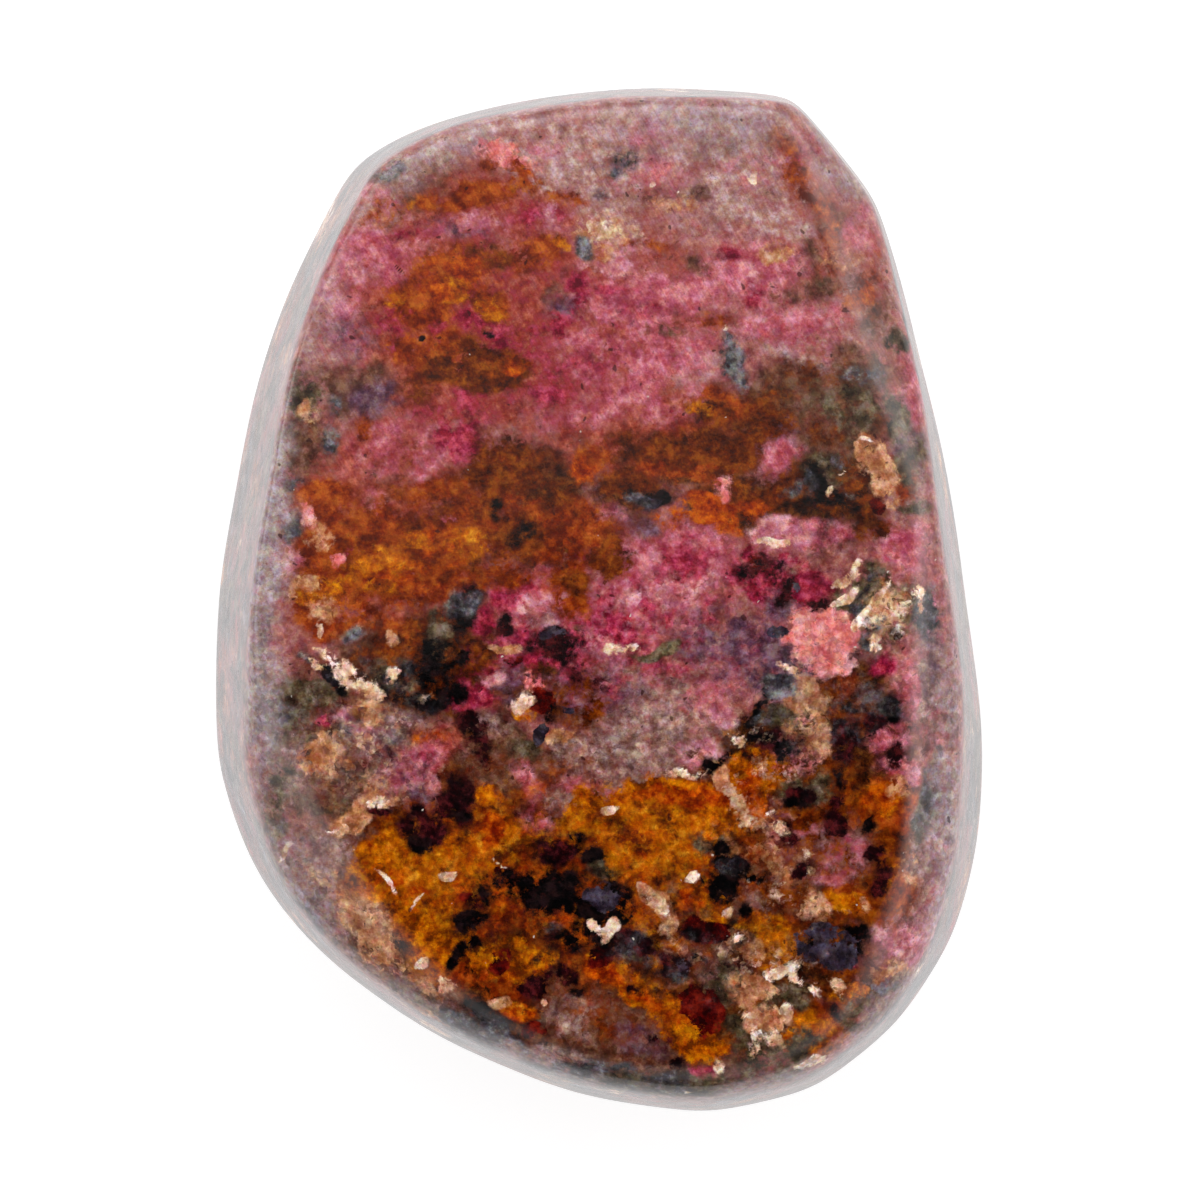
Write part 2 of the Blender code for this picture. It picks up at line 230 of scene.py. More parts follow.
        (-7.6, 23.6, 2.4, 0.7, -10, 0.6), (-19.4, 2.4, 1, 1.6, 0, 0.8),
        (-3.9, -0.3, 1.2, 0.7, 15, 0.78), (-14.6, -7.4, 1.8, 0.8, 0, 0.8), (-12, -9, 5, 4, 0, 0.27),
    ),
    Mineral.RUST: patches(
        (-7.5, 25.2, 4.6, 0.8, 5, 0.95), (-9.2, 20.2, 2.8, 1.8), (-6.9, 18.3, 1.4, 1),
        (-4.6, 21.6, 2, 1.3, -10), (-11.8, 18.7, 1.8, 1.3, 0, 0.85), (-5.6, 14, 1.4, 0.8, 0, 0.9),
        (-13.6, 24.2, 1.4, 1, 0, 0.6), (-2.2, 24.9, 1.8, 0.7, 0, 0.7), (10.9, 29.2, 1.4, 0.5, -60, 0.9),
        (-17.4, 6, 2.4, 1.5, 0, 0.9), (-16.6, -0.6, 3.2, 1.7, -15), (-12.3, -2.8, 1.6, 2),
        (-6.5, 4.6, 3.6, 3.2), (-9.8, 6.9, 3.2, 1, 10, 0.9), (0.2, 3.8, 1.4, 1), (-0.2, 8.6, 1.6, 1.3),
        (9.6, 6, 1.7, 0.8, 15, 0.9), (5, 8.4, 3.6, 1.6, 0, 0.9), (2.5, 21.9, 3.2, 0.5, 5, 0.6),
        (6.6, 17.2, 2.6, 0.6, 0, 0.6), (-3.8, -16.6, 2.2, 1.2), (5.4, -11.8, 2.2, 0.6),
        (17.7, -13.2, 2, 2.2), (18.3, -18.6, 1.3, 2.6), (15.4, -18.5, 1.6, 1, 0, 0.9),
        (9.4, -22.5, 1.6, 0.8, 10), (-6.5, -23.5, 3, 1.4), (-4.5, -19.8, 2.4, 1), (13.2, -26.4, 2, 1.7),
        (19, 7.4, 0.9, 1.6, 30, 0.7), (17.6, 21, 1, 2, 30, 0.5), (14.7, -5.4, 1.5, 0.8, 15),
        (12.3, 26.6, 2.8, 0.6, -63, 0.95), (14.3, 23, 2.2, 0.8, -60, 0.85),
        (15.2, 21, 1.6, 1.2, 0, 0.7), (16.3, 19.2, 1.2, 2.2, 20, 0.65), (0, -18, 18, 9, -5, 0.5),
        (-1.5, 3.4, 1.6, 1.4, 0, 0.95), (-2.5, 0.2, 1.6, 0.8, -20, 0.5), (7.4, 11.9, 2.2, 1.1, 0, 0.9),
        (-12, 2.8, 7.4, 2.8, 3, 1.45), (-1.8, 0.6, 1.5, 1.7), (-5.6, 1.5, 1.6, 0.8, 0, 0.9),
        (-10.6, -8.4, 1.3, 0.8, 0, 0.6), (-11, 18.2, 2, 1.5), (-14.6, 10.6, 1.2, 1, 0, 0.5),
        (-5.6, 26.7, 1.8, 0.8, -20, 0.8), (-2, 4.8, 2, 1.6), (-11.2, 15.2, 2.4, 1.2, 0, 1.3),
        (-2, 3.4, 1.8, 1.5, 0, 1.4),
    ),
    Mineral.UMBER: patches(
        (-6.9, 21.2, 1.8, 0.8, 0, 0.7), (-5.6, 8.4, 2.8, 1.9, 0, 0.95), (2.5, 9.2, 2.6, 1.2, 0, 0.7),
        (1, 2.4, 1.6, 1.6, 0, 0.95), (17, 4.3, 1.6, 0.8, -20), (14.5, -6.6, 1.2, 1.6),
        (15.6, -7, 1.6, 1.5), (-10.6, -4.4, 2.4, 1.6, -10, 0.95), (-14.4, -3.8, 1.2, 0.8, 0, 0.7),
        (-8.6, -18.2, 1.5, 0.9), (17.9, -15.8, 1.3, 1.6, 0, 0.9), (6.2, -18.8, 2.3, 0.9, 0, 0.95),
        (-11.7, -14, 2.4, 1.6, 0, 0.8), (13.4, -25.8, 1.7, 0.9, 0, 0.7), (17.5, -18.9, 1, 1.5, 0, 0.7),
        (-13.4, 2, 2.2, 0.9, 0, 0.5), (-5.2, -21.2, 2.2, 1, 0, 0.6), (9, 9, 1.3, 1.4, 0, 0.8),
        (-10, 4, 9, 6, 0, 0.42), (14, 13, 5, 4, 0, 0.45), (-10.6, -3.6, 3.6, 3, 0, 0.8),
        (12, -18.5, 4, 3, 0, 0.6), (14.5, -15.5, 4, 3, 0, 0.55), (3.5, -21.5, 5, 2.5, 0, 0.6),
        (-11.5, 13.2, 1.4, 0.8, 0, 0.8), (-4.9, 4, 1.5, 1.5, 0, 0.9), (-6.2, 6.4, 1.2, 1, 0, 0.7),
        (14.6, 7.2, 2.6, 2.2, -30, 0.9), (7.6, 11.2, 2.4, 1.2, 0, 0.62), (-1.4, 1.2, 1.4, 1, 0, 0.7),
        (1.6, 7, 2.2, 1.1, 0, 0.9), (10.2, 6.9, 2, 1.1, 0, 0.85), (10.2, 11.2, 2.2, 2, 0, 0.8),
        (-1.2, -6.2, 2.2, 2.2, 0, 0.72), (5.6, -26.6, 2.2, 1.6, -20, 0.8), (9, -27.6, 2, 1, 0, 0.6),
        (6.2, 8.9, 3.2, 1.2, 0, 1.1), (-2, 6.6, 1.4, 1.2, 0, 0.6), (-11.6, -3.2, 2.2, 1.8, 0, 1.4),
        (-9.6, -2.8, 1.4, 2, 0, 1.2), (13.2, -12, 2.6, 2, 0, 1.5), (1, -21, 2.4, 1.2, 0, 0.9),
        (5.4, 9.4, 3, 1, 0, 0.9), (-7.4, 14.3, 3, 1.3, -3, 1.2), (5.2, -17.7, 1.6, 0.9, 0, 1.3),
        (16, -23.9, 1.8, 1, 0, 1.3),
    ),
    Mineral.AMBER: patches(
        (-9.2, 19.2, 1.5, 0.9, 0, 0.55), (-3, 22.5, 1.4, 0.6, -20, 0.55),
        (-17.8, 11.3, 0.8, 1.3, 0, 0.55), (-14.6, 1.6, 2.6, 1.1, -10, 0.6),
        (-11.6, 3.6, 1.6, 1, 0, 0.5), (-8.3, 3.4, 2, 1.2, 0, 0.5), (9.6, -10.9, 2.2, 1.6, 0, 1.1),
        (3.6, -13.3, 4.6, 2.2, -4, 1.1), (4.4, -16.2, 3.8, 2.2, 0, 1.1),
        (-0.6, -13.2, 1.8, 1.4, 0, 0.9), (-12.9, -17, 2.4, 2.4, 0, 1.1), (-8.6, -16.4, 3, 1.2, 10, 1.1),
        (-10.6, -20, 3.2, 1.6, -25, 1.1), (-10.2, -22.4, 1.6, 1.3, -40),
        (-5.8, -22.4, 3.2, 1.2, 0, 0.9), (-6.8, -12.4, 0.8, 0.6), (0.8, -23, 1.8, 1, -30, 1.1),
        (3.6, -24.9, 2.8, 1.2, -30), (6, -27.6, 2.3, 0.9, -20), (10.3, -20.6, 1.7, 1.4),
        (15.8, -24.7, 1.7, 0.6, -5, 1.1), (13.2, -11.4, 1.2, 0.9, 0, 0.6), (15.4, -18.7, 1.3, 0.7),
        (17.6, -12.6, 1.6, 1.2, 0, 0.7), (13.2, -27, 1.6, 0.9, 0, 0.8), (-2, -15.6, 1.6, 0.8, 0, 0.7),
        (18.2, -17.6, 0.9, 1.6, 0, 0.6), (-4.4, 25.4, 1.4, 0.8, 0, 0.45),
        (-6.6, 18.3, 1.4, 0.9, 0, 0.5), (-12.4, 18.4, 1.5, 1, 0, 0.45), (-12.6, 24.1, 2.4, 0.9, 5, 0.5),
        (-9.2, 19.4, 1.6, 1, 0, 0.62), (-6.8, 17.9, 1.3, 0.8, 0, 0.6), (6.4, 11.6, 1.2, 0.8, 0, 0.5),
        (4.2, -14.8, 4.4, 2.8, 0, 0.8), (-11.6, -18.6, 2.6, 2.2, 0, 0.8),
        (-8.2, -15.6, 2.4, 1.2, 10, 0.9), (8.5, -13.5, 2, 2, 0, 0.7), (10.2, -21.1, 1.8, 1.4, 0, 1.3),
        (3.6, -20.6, 1.7, 1.3, -40, 1.1), (6.4, -19.4, 2, 1, 0, 0.9), (13.4, -27.2, 1.8, 1.1, 10),
        (13.5, -26.8, 1.6, 1, 0, 1.2), (-7, -12, 0.8, 0.7, 0, 0.9), (9.6, -22.6, 1.5, 0.5, 5),
        (-17.6, 0.4, 1.8, 0.9, 0, 0.8), (-5, -22.6, 3, 1.2, 0, 0.9), (7, -18.4, 1.4, 0.8, 0, 0.8),
        (3.6, -21, 1.6, 1.3, -40, 1.2), (10.2, -21.4, 2, 1.3, 0, 1.5), (16, -24.5, 1.5, 0.6, -5, 1.3),
    ),
    Mineral.GOLD: patches(
        (-6.6, -14.5, 1.1, 1), (-13.2, -15.6, 1.5, 1, 0, 0.7), (-10.9, -17.8, 1.3, 0.5, 60, 0.9),
        (-8.6, -15.9, 1.4, 0.5, 15, 0.8), (-4.9, -25.5, 1, 0.7), (3, -13, 2.2, 1, 0, 0.55),
        (3.6, -16.4, 2.6, 1, 0, 0.5), (9.6, -11.6, 1.2, 0.9, 0, 0.6), (-13.2, -18.6, 1.5, 0.8, 0, 0.5),
        (-4.8, -6.9, 0.6, 0.9, 30, 0.7), (-3, -16, 13, 6, -5, 0.34), (3.6, -14.6, 3.6, 2.2, 0, 0.58),
        (-11.4, -17.6, 2.4, 1.6, 0, 0.58), (-6.8, -14.9, 1, 1.2, 0, 1.2),
        (-9.4, -16.8, 2.4, 0.5, 32, 0.9), (11.7, -26.1, 0.6, 0.6, 0, 0.6),
        (10.2, -21.2, 1.4, 1, 0, 1.3), (5.6, -14.8, 2, 1.6, 0, 0.7), (2.6, -16.2, 1.6, 1.4, 0, 0.7),
        (13.2, -26.6, 0.9, 0.7, 0, 0.7), (-13.6, 2.2, 2.6, 1, -6, 0.5), (-7.6, 3.6, 1.6, 0.8, 0, 0.5),
    ),
    Mineral.EMBER: patches(
        (6.6, 5.3, 2.7, 1.1, 0, 1.1), (9.6, 5.7, 1.1, 0.7, 0, 0.9), (3.8, -12, 2.2, 0.5),
        (7.1, -12, 1.1, 0.7), (0.3, -23.3, 1.3, 0.7, -30), (-6.8, -14.3, 0.9, 0.9),
        (-13.4, -17.2, 1.3, 0.8, 0, 0.7), (-5, -25.6, 1, 0.7, 0, 0.9), (-1.2, 8.3, 1, 0.8, 0, 0.7),
        (-9.8, 19.4, 1.6, 0.8, 0, 0.6), (-6.8, 18.2, 1, 0.6, 0, 0.7), (-9.6, 3.4, 1.5, 1.2, 0, 0.55),
        (2.6, -24.6, 1.6, 0.8, -30, 0.8), (9.6, -11.6, 1.2, 1, 0, 0.8), (-12, 1.5, 1.6, 0.8, 0, 0.55),
        (-11.5, -18.4, 1.2, 0.8, 0, 0.7), (5, -26, 1, 0.8, 0, 0.7), (0, -17, 17, 7, -5, 0.36),
        (-8.6, 20.2, 3, 1.6, 0, 0.55), (17.4, -12.4, 1.6, 0.9, 0, 0.5), (-5.4, 14.6, 1.4, 0.7, 0, 0.6),
        (5.4, -12.2, 1.8, 0.6, 0, 1.2), (9.4, -12.4, 1, 1.5), (5.4, -19.2, 1.4, 0.7, 0, 0.9),
        (-5.2, 26.9, 1.6, 0.6, -20, 0.62), (-10.6, -8.6, 1.2, 0.6, 0, 0.6),
    ),
    Mineral.OLIVE: patches(
        (15.8, 12, 2.2, 1.8, 0, 0.65), (14.9, 8.8, 1.3, 0.9, 0, 0.8), (19.8, 5.9, 0.8, 0.7, 0, 0.9),
        (-19.8, -6.6, 1.9, 1.6), (-17, -5.7, 1.8, 1, -10, 0.9), (-19.6, -9.6, 1.3, 2, 0, 0.7),
        (-20, -13.2, 1, 2.2, 0, 0.8), (3.8, -3.2, 1.6, 0.4, 20, 0.8), (12.2, -7.4, 1.8, 0.9, 0, 0.9),
        (21.2, -8.4, 2.6, 0.5, 75, 0.9), (12, -24.3, 1.5, 0.8, 0, 0.9), (11, -28.4, 2.9, 1.1, 20),
        (0.3, -16.8, 0.8, 0.6, 0, 0.8), (-4.5, -9.3, 2.2, 0.9, 0, 0.6), (14.2, 19.6, 1, 0.5, 0, 0.5),
        (18.4, 16, 0.8, 1.2, 0, 0.7), (-10, -1.8, 0.9, 1.6, 0, 0.7), (7.2, -24, 0.9, 0.8, 0, 0.7),
        (20.4, -13, 0.7, 2.2, -8, 0.8), (-18.3, 12.4, 1.3, 2.1, 10, 0.75), (18.4, 11, 0.9, 2.2, 0, 0.9),
        (-12.6, -4.6, 1.6, 1.2, 0, 0.7), (17.4, -0.8, 2.8, 2.3, 0, 0.95), (-17, -10, 4, 6, 0, 0.42),
        (15, 12, 5, 4, 0, 0.36), (-10, -27.3, 5, 0.5, -30, 0.7), (-4, -29.6, 5, 0.6, -14, 0.8),
        (12, -29.6, 3, 0.5, 20, 0.7), (-20.5, -15, 1, 4, 12, 0.6), (11.4, -7.2, 1.4, 0.9, 0, 0.8),
        (14.2, 8.2, 2, 1.6, -20, 0.7), (17, -0.4, 2.6, 2.2), (10, -26.6, 2.4, 1.6, -20, 0.9),
        (3, -30.2, 6, 0.8, 0, 1.1), (16, -25.6, 1.6, 1, 40, 0.8), (-11.6, -24.8, 3, 0.6, -38, 0.8),
        (19.5, 8.6, 0.7, 1.8, 0, 0.6), (1, -30.4, 5, 0.6, 0, 0.9), (12.8, -6.6, 1.6, 0.9, -20, 0.8),
        (12.9, -11.8, 1.6, 1.2, 0, 0.9), (7.5, -23.6, 1, 1.2, 0, 0.9), (2.4, -21.8, 1.4, 1, 0, 0.7),
        (9.6, -28.2, 1.6, 0.7, 0, 0.9), (-9.7, -2.2, 1, 1.6, 0, 0.6), (8, -20, 8, 7, 0, 0.3),
        (6.8, -15, 1.2, 0.8, 0, 0.8), (18.9, 8.4, 0.7, 1.2, 0, 0.7),
    ),
    Mineral.CORAL: patches(
        (15.1, -3.9, 1.5, 0.8, -15, 0.9), (-18.1, 4.7, 0.5, 1.2, 25, 0.8),
        (12.6, -10.2, 1.2, 0.8, 0, 0.6), (-4, -5.5, 0.9, 0.7, 0, 0.8), (13.7, -2.5, 1.9, 2, -25, 1.3),
        (12.8, -7.6, 0.8, 0.7, 0, 0.6), (-5.7, 27.8, 2.6, 1, -24, 0.68), (7.9, 7, 0.8, 1.1, 0, 0.62),
        (-16.6, 2.6, 0.7, 0.5, 30, 0.62),
    ),
    Mineral.PEACH: patches(
        (-16.9, -9.2, 1.9, 1.1, 20, 0.95), (-17.9, -10.5, 0.7, 0.6, 0, 0.9),
        (-15.3, -13.9, 1.4, 0.6, 20, 0.9), (9.6, -24, 1.4, 0.9, -10), (4.8, -21.4, 1.1, 0.3, -55, 0.9),
        (16.3, -19.2, 0.8, 0.7, -60, 0.8), (13.4, -19.2, 1.2, 1, 0, 0.6),
        (18, -23.1, 1.1, 0.6, 20, 0.8), (-2.3, -8.7, 0.9, 0.6, 0, 0.8), (-5.9, -2.9, 0.9, 0.4, 0, 0.95),
        (8.2, -8.3, 0.8, 0.4, 0, 0.7), (10.8, 21.3, 0.9, 0.5, 0, 0.6), (-13.2, -2.3, 0.5, 0.5, 0, 0.7),
        (19.2, -16.5, 0.6, 1.4, 0, 0.6), (-17.8, 11.5, 0.9, 1.3, 0, 0.5), (14.9, 21.3, 1.4, 1, 0, 0.48),
        (11, 21.6, 1.2, 0.6, 0, 0.45), (0.2, 22.6, 2.4, 1.6, 0, 0.5), (5, 24.6, 3.5, 0.7, 0, 0.4),
        (-14.8, -19.6, 3.6, 1.4, -45, 0.62), (-15, -10, 5, 6, 0, 0.36), (-16.4, -19, 3, 0.7, -52, 0.6),
        (-2, -28.6, 4, 0.4, -8, 0.4), (-13.2, 23.9, 2, 1, 8, 0.55), (12.9, -5.1, 0.9, 0.6, -30, 0.8),
        (-12.2, -22.9, 3, 0.6, -42, 0.6), (13, -8.6, 1.6, 1.6, 0, 0.62), (-14.3, -20.8, 3, 0.9, -48),
        (-10.4, -25.9, 2.4, 0.4, -32, 0.8), (17.2, -0.6, 2.2, 1.8, 0, 0.6),
        (9, -21.4, 1.2, 0.7, -45, 1.6), (7.9, -11.9, 1.8, 0.5, -58, 1.5), (-13.9, -12.7, 1.4, 0.8, 10),
        (10.2, -25.8, 1.5, 1.2, 0, 0.8), (11.6, -26.1, 0.7, 0.8, 0, 0.9), (-6.1, -25, 0.6, 0.5, 0, 0.9),
        (18.4, -11.6, 0.8, 0.8, 0, 0.9), (8.9, -24, 0.8, 0.6, 0, 0.9), (10, -15, 5, 5, 0, 0.34),
        (-18.4, 0.6, 1.2, 0.7, 0, 0.6), (13, -6.1, 1.3, 0.9, -20, 1.1), (4.4, -20.6, 1, 0.4, -55, 1.2),
        (-17.2, -0.6, 1.2, 0.8, 0, 0.7), (17.5, 7.6, 2.4, 0.8, -62, 1.05),
        (3.7, -19.2, 1.4, 0.45, -60, 1.5), (-14.2, -6.9, 1.9, 0.8, -10, 0.72),
        (-17.6, 3.8, 0.8, 1.3, 20, 0.62),
    ),
    Mineral.GARNET: patches(
        (-3.7, -6.4, 0.7, 0.7), (-0.1, -22.3, 0.8, 0.7), (-6.3, -22.4, 0.7, 0.6, 0, 0.9),
        (-3.8, -27, 0.9, 0.6, -40), (6.8, -20.4, 1.7, 0.8, -5), (17.4, 6, 0.7, 0.6),
        (9.9, 2.2, 0.7, 0.9, 0, 0.7), (-8.2, -18.4, 1, 0.6, 0, 0.7), (-5.4, -3.9, 0.8, 0.6, 0, 0.7),
        (-6, -17.2, 0.9, 0.6, 0, 0.7), (-7.4, -10.4, 0.8, 0.6, 0, 0.6), (6.3, -25.6, 1.2, 1.3, 0, 1.6),
    ),
    Mineral.MAROON: patches(
        (-11.2, 16.3, 0.3, 0.25, 0, 0.9), (-6.9, 16.4, 0.35, 0.25, 0, 0.9),
        (-12.5, 20.4, 0.25, 0.2, 0, 0.9), (10.4, 1.6, 0.7, 1.2, 0, 0.7), (17.5, -7, 1, 1.4),
        (15.2, -8.4, 1.2, 1), (-7.8, -7.8, 1, 0.8), (-11, -14.3, 1.7, 1.5, 0, 0.95),
        (-8.5, -12.4, 1, 1.4), (-13.4, -13.3, 1, 0.3, 0, 0.9), (12.4, -11.9, 0.7, 0.7),
        (15, -14.1, 0.9, 0.9, 0, 1.1), (17.2, -16, 0.7, 0.8), (-4, -23.9, 1.2, 0.6, 0, 0.9),
        (2.2, -21.5, 1.7, 0.9, -25, 0.95), (4.7, -22.8, 1.2, 0.8, -20, 0.95),
        (14.3, -25.8, 0.7, 0.5, 0, 0.9), (5.1, -28.7, 0.7, 0.5, 0, 0.9), (-3.3, -15, 1, 0.6, 0, 0.6),
        (12.6, -16.8, 0.7, 0.5, 0, 0.9), (18.4, -9.8, 0.6, 0.9, 0, 0.8), (10.7, -8.7, 0.9, 0.6),
        (-5.6, -1.2, 0.7, 0.6, 0, 0.8), (2.3, -24.2, 0.5, 0.4, 0, 0.9), (10.6, 1.8, 2, 1.3, -20, 0.62),
        (-11, -9, 8, 6, 0, 0.3), (15.1, -9.8, 0.7, 0.6, 0, 0.9), (14.6, -12.3, 0.8, 0.6, 0, 0.8),
        (-2.9, -2.5, 2, 0.7, 4, 0.8), (10.4, -9.2, 2, 0.9, 10, 0.7), (-0.6, -4.6, 1.8, 0.9, -15, 0.55),
        (-2.2, -9.4, 1, 0.8, 0, 0.5), (-7.6, -9, 1.2, 1.8, 20, 0.6), (9.6, 1.2, 1.6, 0.8, -30, 0.58),
        (12.1, 0.5, 0.9, 1, 0, 0.72), (-2.2, -3.2, 1.8, 1, 0, 0.8), (13.6, -0.4, 1, 0.7, 0, 0.8),
        (-8, 0.2, 1.3, 1, 0, 0.6), (11.8, -14.6, 0.6, 0.8, 0, 0.8), (17.4, -17.6, 0.7, 1, 0, 0.7),
        (-9.6, -12.8, 1, 1, 0, 0.8), (8.6, -22.9, 0.9, 0.5, 0, 0.8), (0.6, -22, 1.2, 0.6, 0, 0.7),
        (0, -18.5, 19, 9, -5, 0.33), (14.5, -8, 5, 7, 0, 0.32), (5.8, -20.6, 1.2, 0.5, -5, 0.8),
        (-2.4, -15.7, 1.6, 0.8, 0, 0.9), (-2.4, -23.5, 1.2, 0.7, 0, 0.85), (4, -27.5, 1, 0.6, 0, 0.72),
    ),
    Mineral.BLACK: patches(
        (-16.5, -4.9, 1.3, 0.45, -35), (2.9, 6.5, 1.5, 0.5, -5), (-3.2, -7.1, 0.6, 0.6),
        (17.9, -6.8, 0.8, 1.1), (9.9, -7, 1, 0.35, 70), (7, -10.2, 1.2, 0.4, 30, 0.95),
        (-10.7, -15.3, 1.1, 0.6, 0, 0.9), (-3.2, -18.2, 2.6, 1.1, -6, 1.2),
        (-0.6, -19.3, 1.4, 0.8, -30, 1.1), (0.9, -18.9, 1.4, 1.2, 0, 1.1),
        (-7.9, -19.8, 1.1, 0.7, 0, 1.1), (-8.7, -22.2, 1.2, 0.5, 60), (-7.3, -25.3, 1.2, 0.5, -35, 1.1),
        (8, -16.9, 1.2, 1.1, 0, 1.1), (9.6, -17.5, 0.5, 0.4), (9.3, -19.3, 0.5, 0.4),
        (-0.2, -16, 0.9, 0.6, 0, 0.8), (15.8, -20.6, 1.1, 0.7), (13.9, -21.6, 1.4, 1.2, 0, 0.9),
        (15.6, -6.8, 0.7, 0.5, 0, 0.7), (15, -11, 0.5, 0.9, 0, 0.8), (-8.6, -13.4, 0.7, 0.5, 0, 0.9),
        (2.2, -21, 0.8, 0.5, 0, 0.7), (-9.4, -4.2, 2.3, 2.4, 0, 0.7), (-8.9, -1.9, 1, 1.6, 0, 0.7),
        (-13.8, -4.2, 1, 0.6, 0, 0.5), (15, 3, 4, 9, 0, 0.28), (-4.9, 4.1, 0.7, 1, -20, 0.62),
        (-6.4, 5.6, 0.5, 0.8, 0, 0.55), (10, -8.6, 1.6, 0.8, 0, 0.7), (11.6, -9.6, 0.8, 0.6, 0, 0.7),
        (-3.4, -17.8, 2.2, 1.2), (4.4, -24, 1.4, 1, 0, 0.6), (13.7, 7.4, 1.4, 1.8, -20, 0.78),
        (-8.6, -0.9, 1.1, 1.7, 0, 0.72), (-5.4, -17.9, 1.6, 1, 0, 0.9), (-1.2, -21, 2.4, 1, 0, 0.75),
        (1.2, -19.6, 1.6, 1, 0, 0.9), (7.6, -17.6, 1.6, 1.2, 0, 0.9),
        (-10.2, -5.2, 2.4, 1.3, -20, 0.95), (-11.8, -5.6, 2.5, 0.9, -12, 0.85),
        (-8.2, -11.8, 0.8, 1.2, 0, 0.55), (16, -20.9, 1, 0.9, 0, 0.9),
        (-17.4, -20.5, 0.5, 0.35, 0, 0.7), (-7.2, -17.6, 0.35, 1.1, 10, 0.8), (-1.6, -18.8, 2.4, 0.9),
        (12.2, -12.6, 1, 0.8, 0, 0.6), (-7.6, -21, 1.4, 0.7, 30, 0.7), (6.2, -22.6, 1, 0.5, 0, 0.7),
        (16.6, -13.8, 0.6, 1.2, 0, 0.6), (-3.4, -22.4, 1.2, 0.5, 20, 0.7),
        (-10.2, -3, 2.4, 2.2, 0, 0.42), (-8, -4, 5, 5, 0, 0.26), (13.2, 5.6, 1.6, 1.2, -20, 0.55),
        (15, 6.2, 1.5, 0.6, -38, 0.6), (0, -19, 19, 8, -5, 0.34), (-1.3, -14.9, 0.8, 0.5, 0, 0.72),
        (7.4, -15.5, 0.9, 0.6, 0, 0.8), (-1.3, -24.3, 0.8, 0.5, 0, 0.62),
    ),
    Mineral.VIOLET: patches(
        (-3.6, -8.3, 0.5, 0.8, -15), (-1.9, -6.7, 0.6, 0.3, 0, 0.9), (0.3, -18.4, 1, 0.9, 0, 1.1),
        (10.9, -1.9, 0.8, 0.5, -20, 0.9), (3.4, 6.2, 0.8, 0.3, 0, 0.7), (12.4, 0.5, 0.4, 0.5, 0, 0.7),
        (5, -22.9, 0.6, 0.5, 0, 0.6), (-2.9, -2.3, 1.5, 0.4, 4, 0.62),
        (14.2, -21.6, 1.9, 1.2, -5, 1.25),
    ),
    Mineral.SLATE: patches(
        (-0.8, 22, 0.6, 0.5, 0, 0.9), (8.3, 14.9, 1.6, 0.7, -65), (16.4, 13.9, 1.5, 0.7, -15, 0.7),
        (-16.3, 12, 0.5, 0.9, 0, 0.6), (-16.8, 9.8, 0.5, 0.9, 0, 0.9), (-18.8, 7.2, 0.8, 0.5, 0, 0.8),
        (-18.9, 4.2, 0.4, 1, 0, 0.85), (-20.1, 1.8, 0.5, 0.5, 0, 0.8), (-8.3, -0.4, 1.1, 0.6, 20),
        (-15.2, -2.4, 0.9, 0.5, 0, 0.7), (-18.1, -3.7, 0.7, 0.4, -20, 0.8),
        (-20.2, -7.2, 1, 0.7, 0, 0.7), (2.6, 6.1, 1.2, 0.5, -10, 0.7), (11.8, 6.8, 0.7, 0.5, 0, 0.7),
        (16, -0.5, 0.9, 0.4, -20, 0.9), (16.5, -2.9, 0.6, 0.4, -20), (11.1, -5.5, 1, 0.7, 15, 1.1),
        (10.3, -7.6, 0.7, 0.5, 0, 0.7), (8, -16.6, 0.8, 0.7, 0, 0.6), (-7, -26.5, 2.4, 0.8, -35, 0.8),
        (-2.8, -20, 0.7, 0.4, 0, 0.8), (17.7, -24.3, 0.9, 0.5, 30), (-21, -1.4, 0.7, 1.4, 0, 0.7),
        (15.2, 6.6, 0.9, 0.3, -25, 0.7), (-17.6, -19.4, 1.6, 0.9, -40, 0.6),
        (21, -10.6, 0.5, 2, -10, 0.7), (-13.2, 27, 1.5, 1, 50, 0.72), (0.3, 25.5, 0.9, 0.7, 0, 0.55),
        (20.4, -0.9, 0.9, 1.7), (14, -6, 6, 6, 0, 0.3), (-14, -8, 6, 6, 0, 0.3),
        (-13.6, -25, 4.5, 0.5, -36, 0.6), (-7.5, -27.6, 4, 0.5, -28, 0.7), (1, -30.4, 6, 0.5, -2, 0.7),
        (-18.5, -19.5, 3, 0.5, -55, 0.6), (18.5, -26, 3, 0.5, 50, 0.5), (14.8, 8.9, 1, 0.6, -30, 0.6),
        (13.1, 7.1, 0.5, 0.9, 0, 0.55), (17.4, -1.6, 1.2, 0.4, 45, 0.7), (16.4, 0.8, 1.2, 0.3, 45, 0.6),
        (1, -29.2, 5, 0.5, -3, 0.9), (-8, -26.7, 3, 0.6, -32), (1.3, 26.8, 1.7, 0.9, 55, 0.58),
        (20.4, -12.6, 0.45, 2.4, -10), (-6.4, -26.8, 2.4, 0.5, -38), (5, -22.5, 6, 3, 0, 0.28),
        (-9.2, -0.3, 0.5, 0.9, 0, 0.8),
    ),
    Mineral.CREAM: patches(
        (8.1, 16.7, 0.7, 0.3, 0, 0.6), (-20.4, 1, 0.4, 0.3), (-17, -3, 0.6, 0.25, 0, 0.9),
        (-15.6, -4.5, 1.4, 0.55, -35, 1.1), (-14.2, -5.6, 1.1, 0.5, -30, 1.1),
        (-12.9, -4.7, 0.35, 0.45), (-17.6, -4, 0.8, 0.25, -35, 0.9), (1.4, -3.2, 1.2, 0.4, 20),
        (0.6, -3.6, 0.5, 0.4, 0, 0.9), (19.8, 0.3, 0.3, 1.3, 5), (17.1, -2.9, 0.6, 0.35, 0, 0.9),
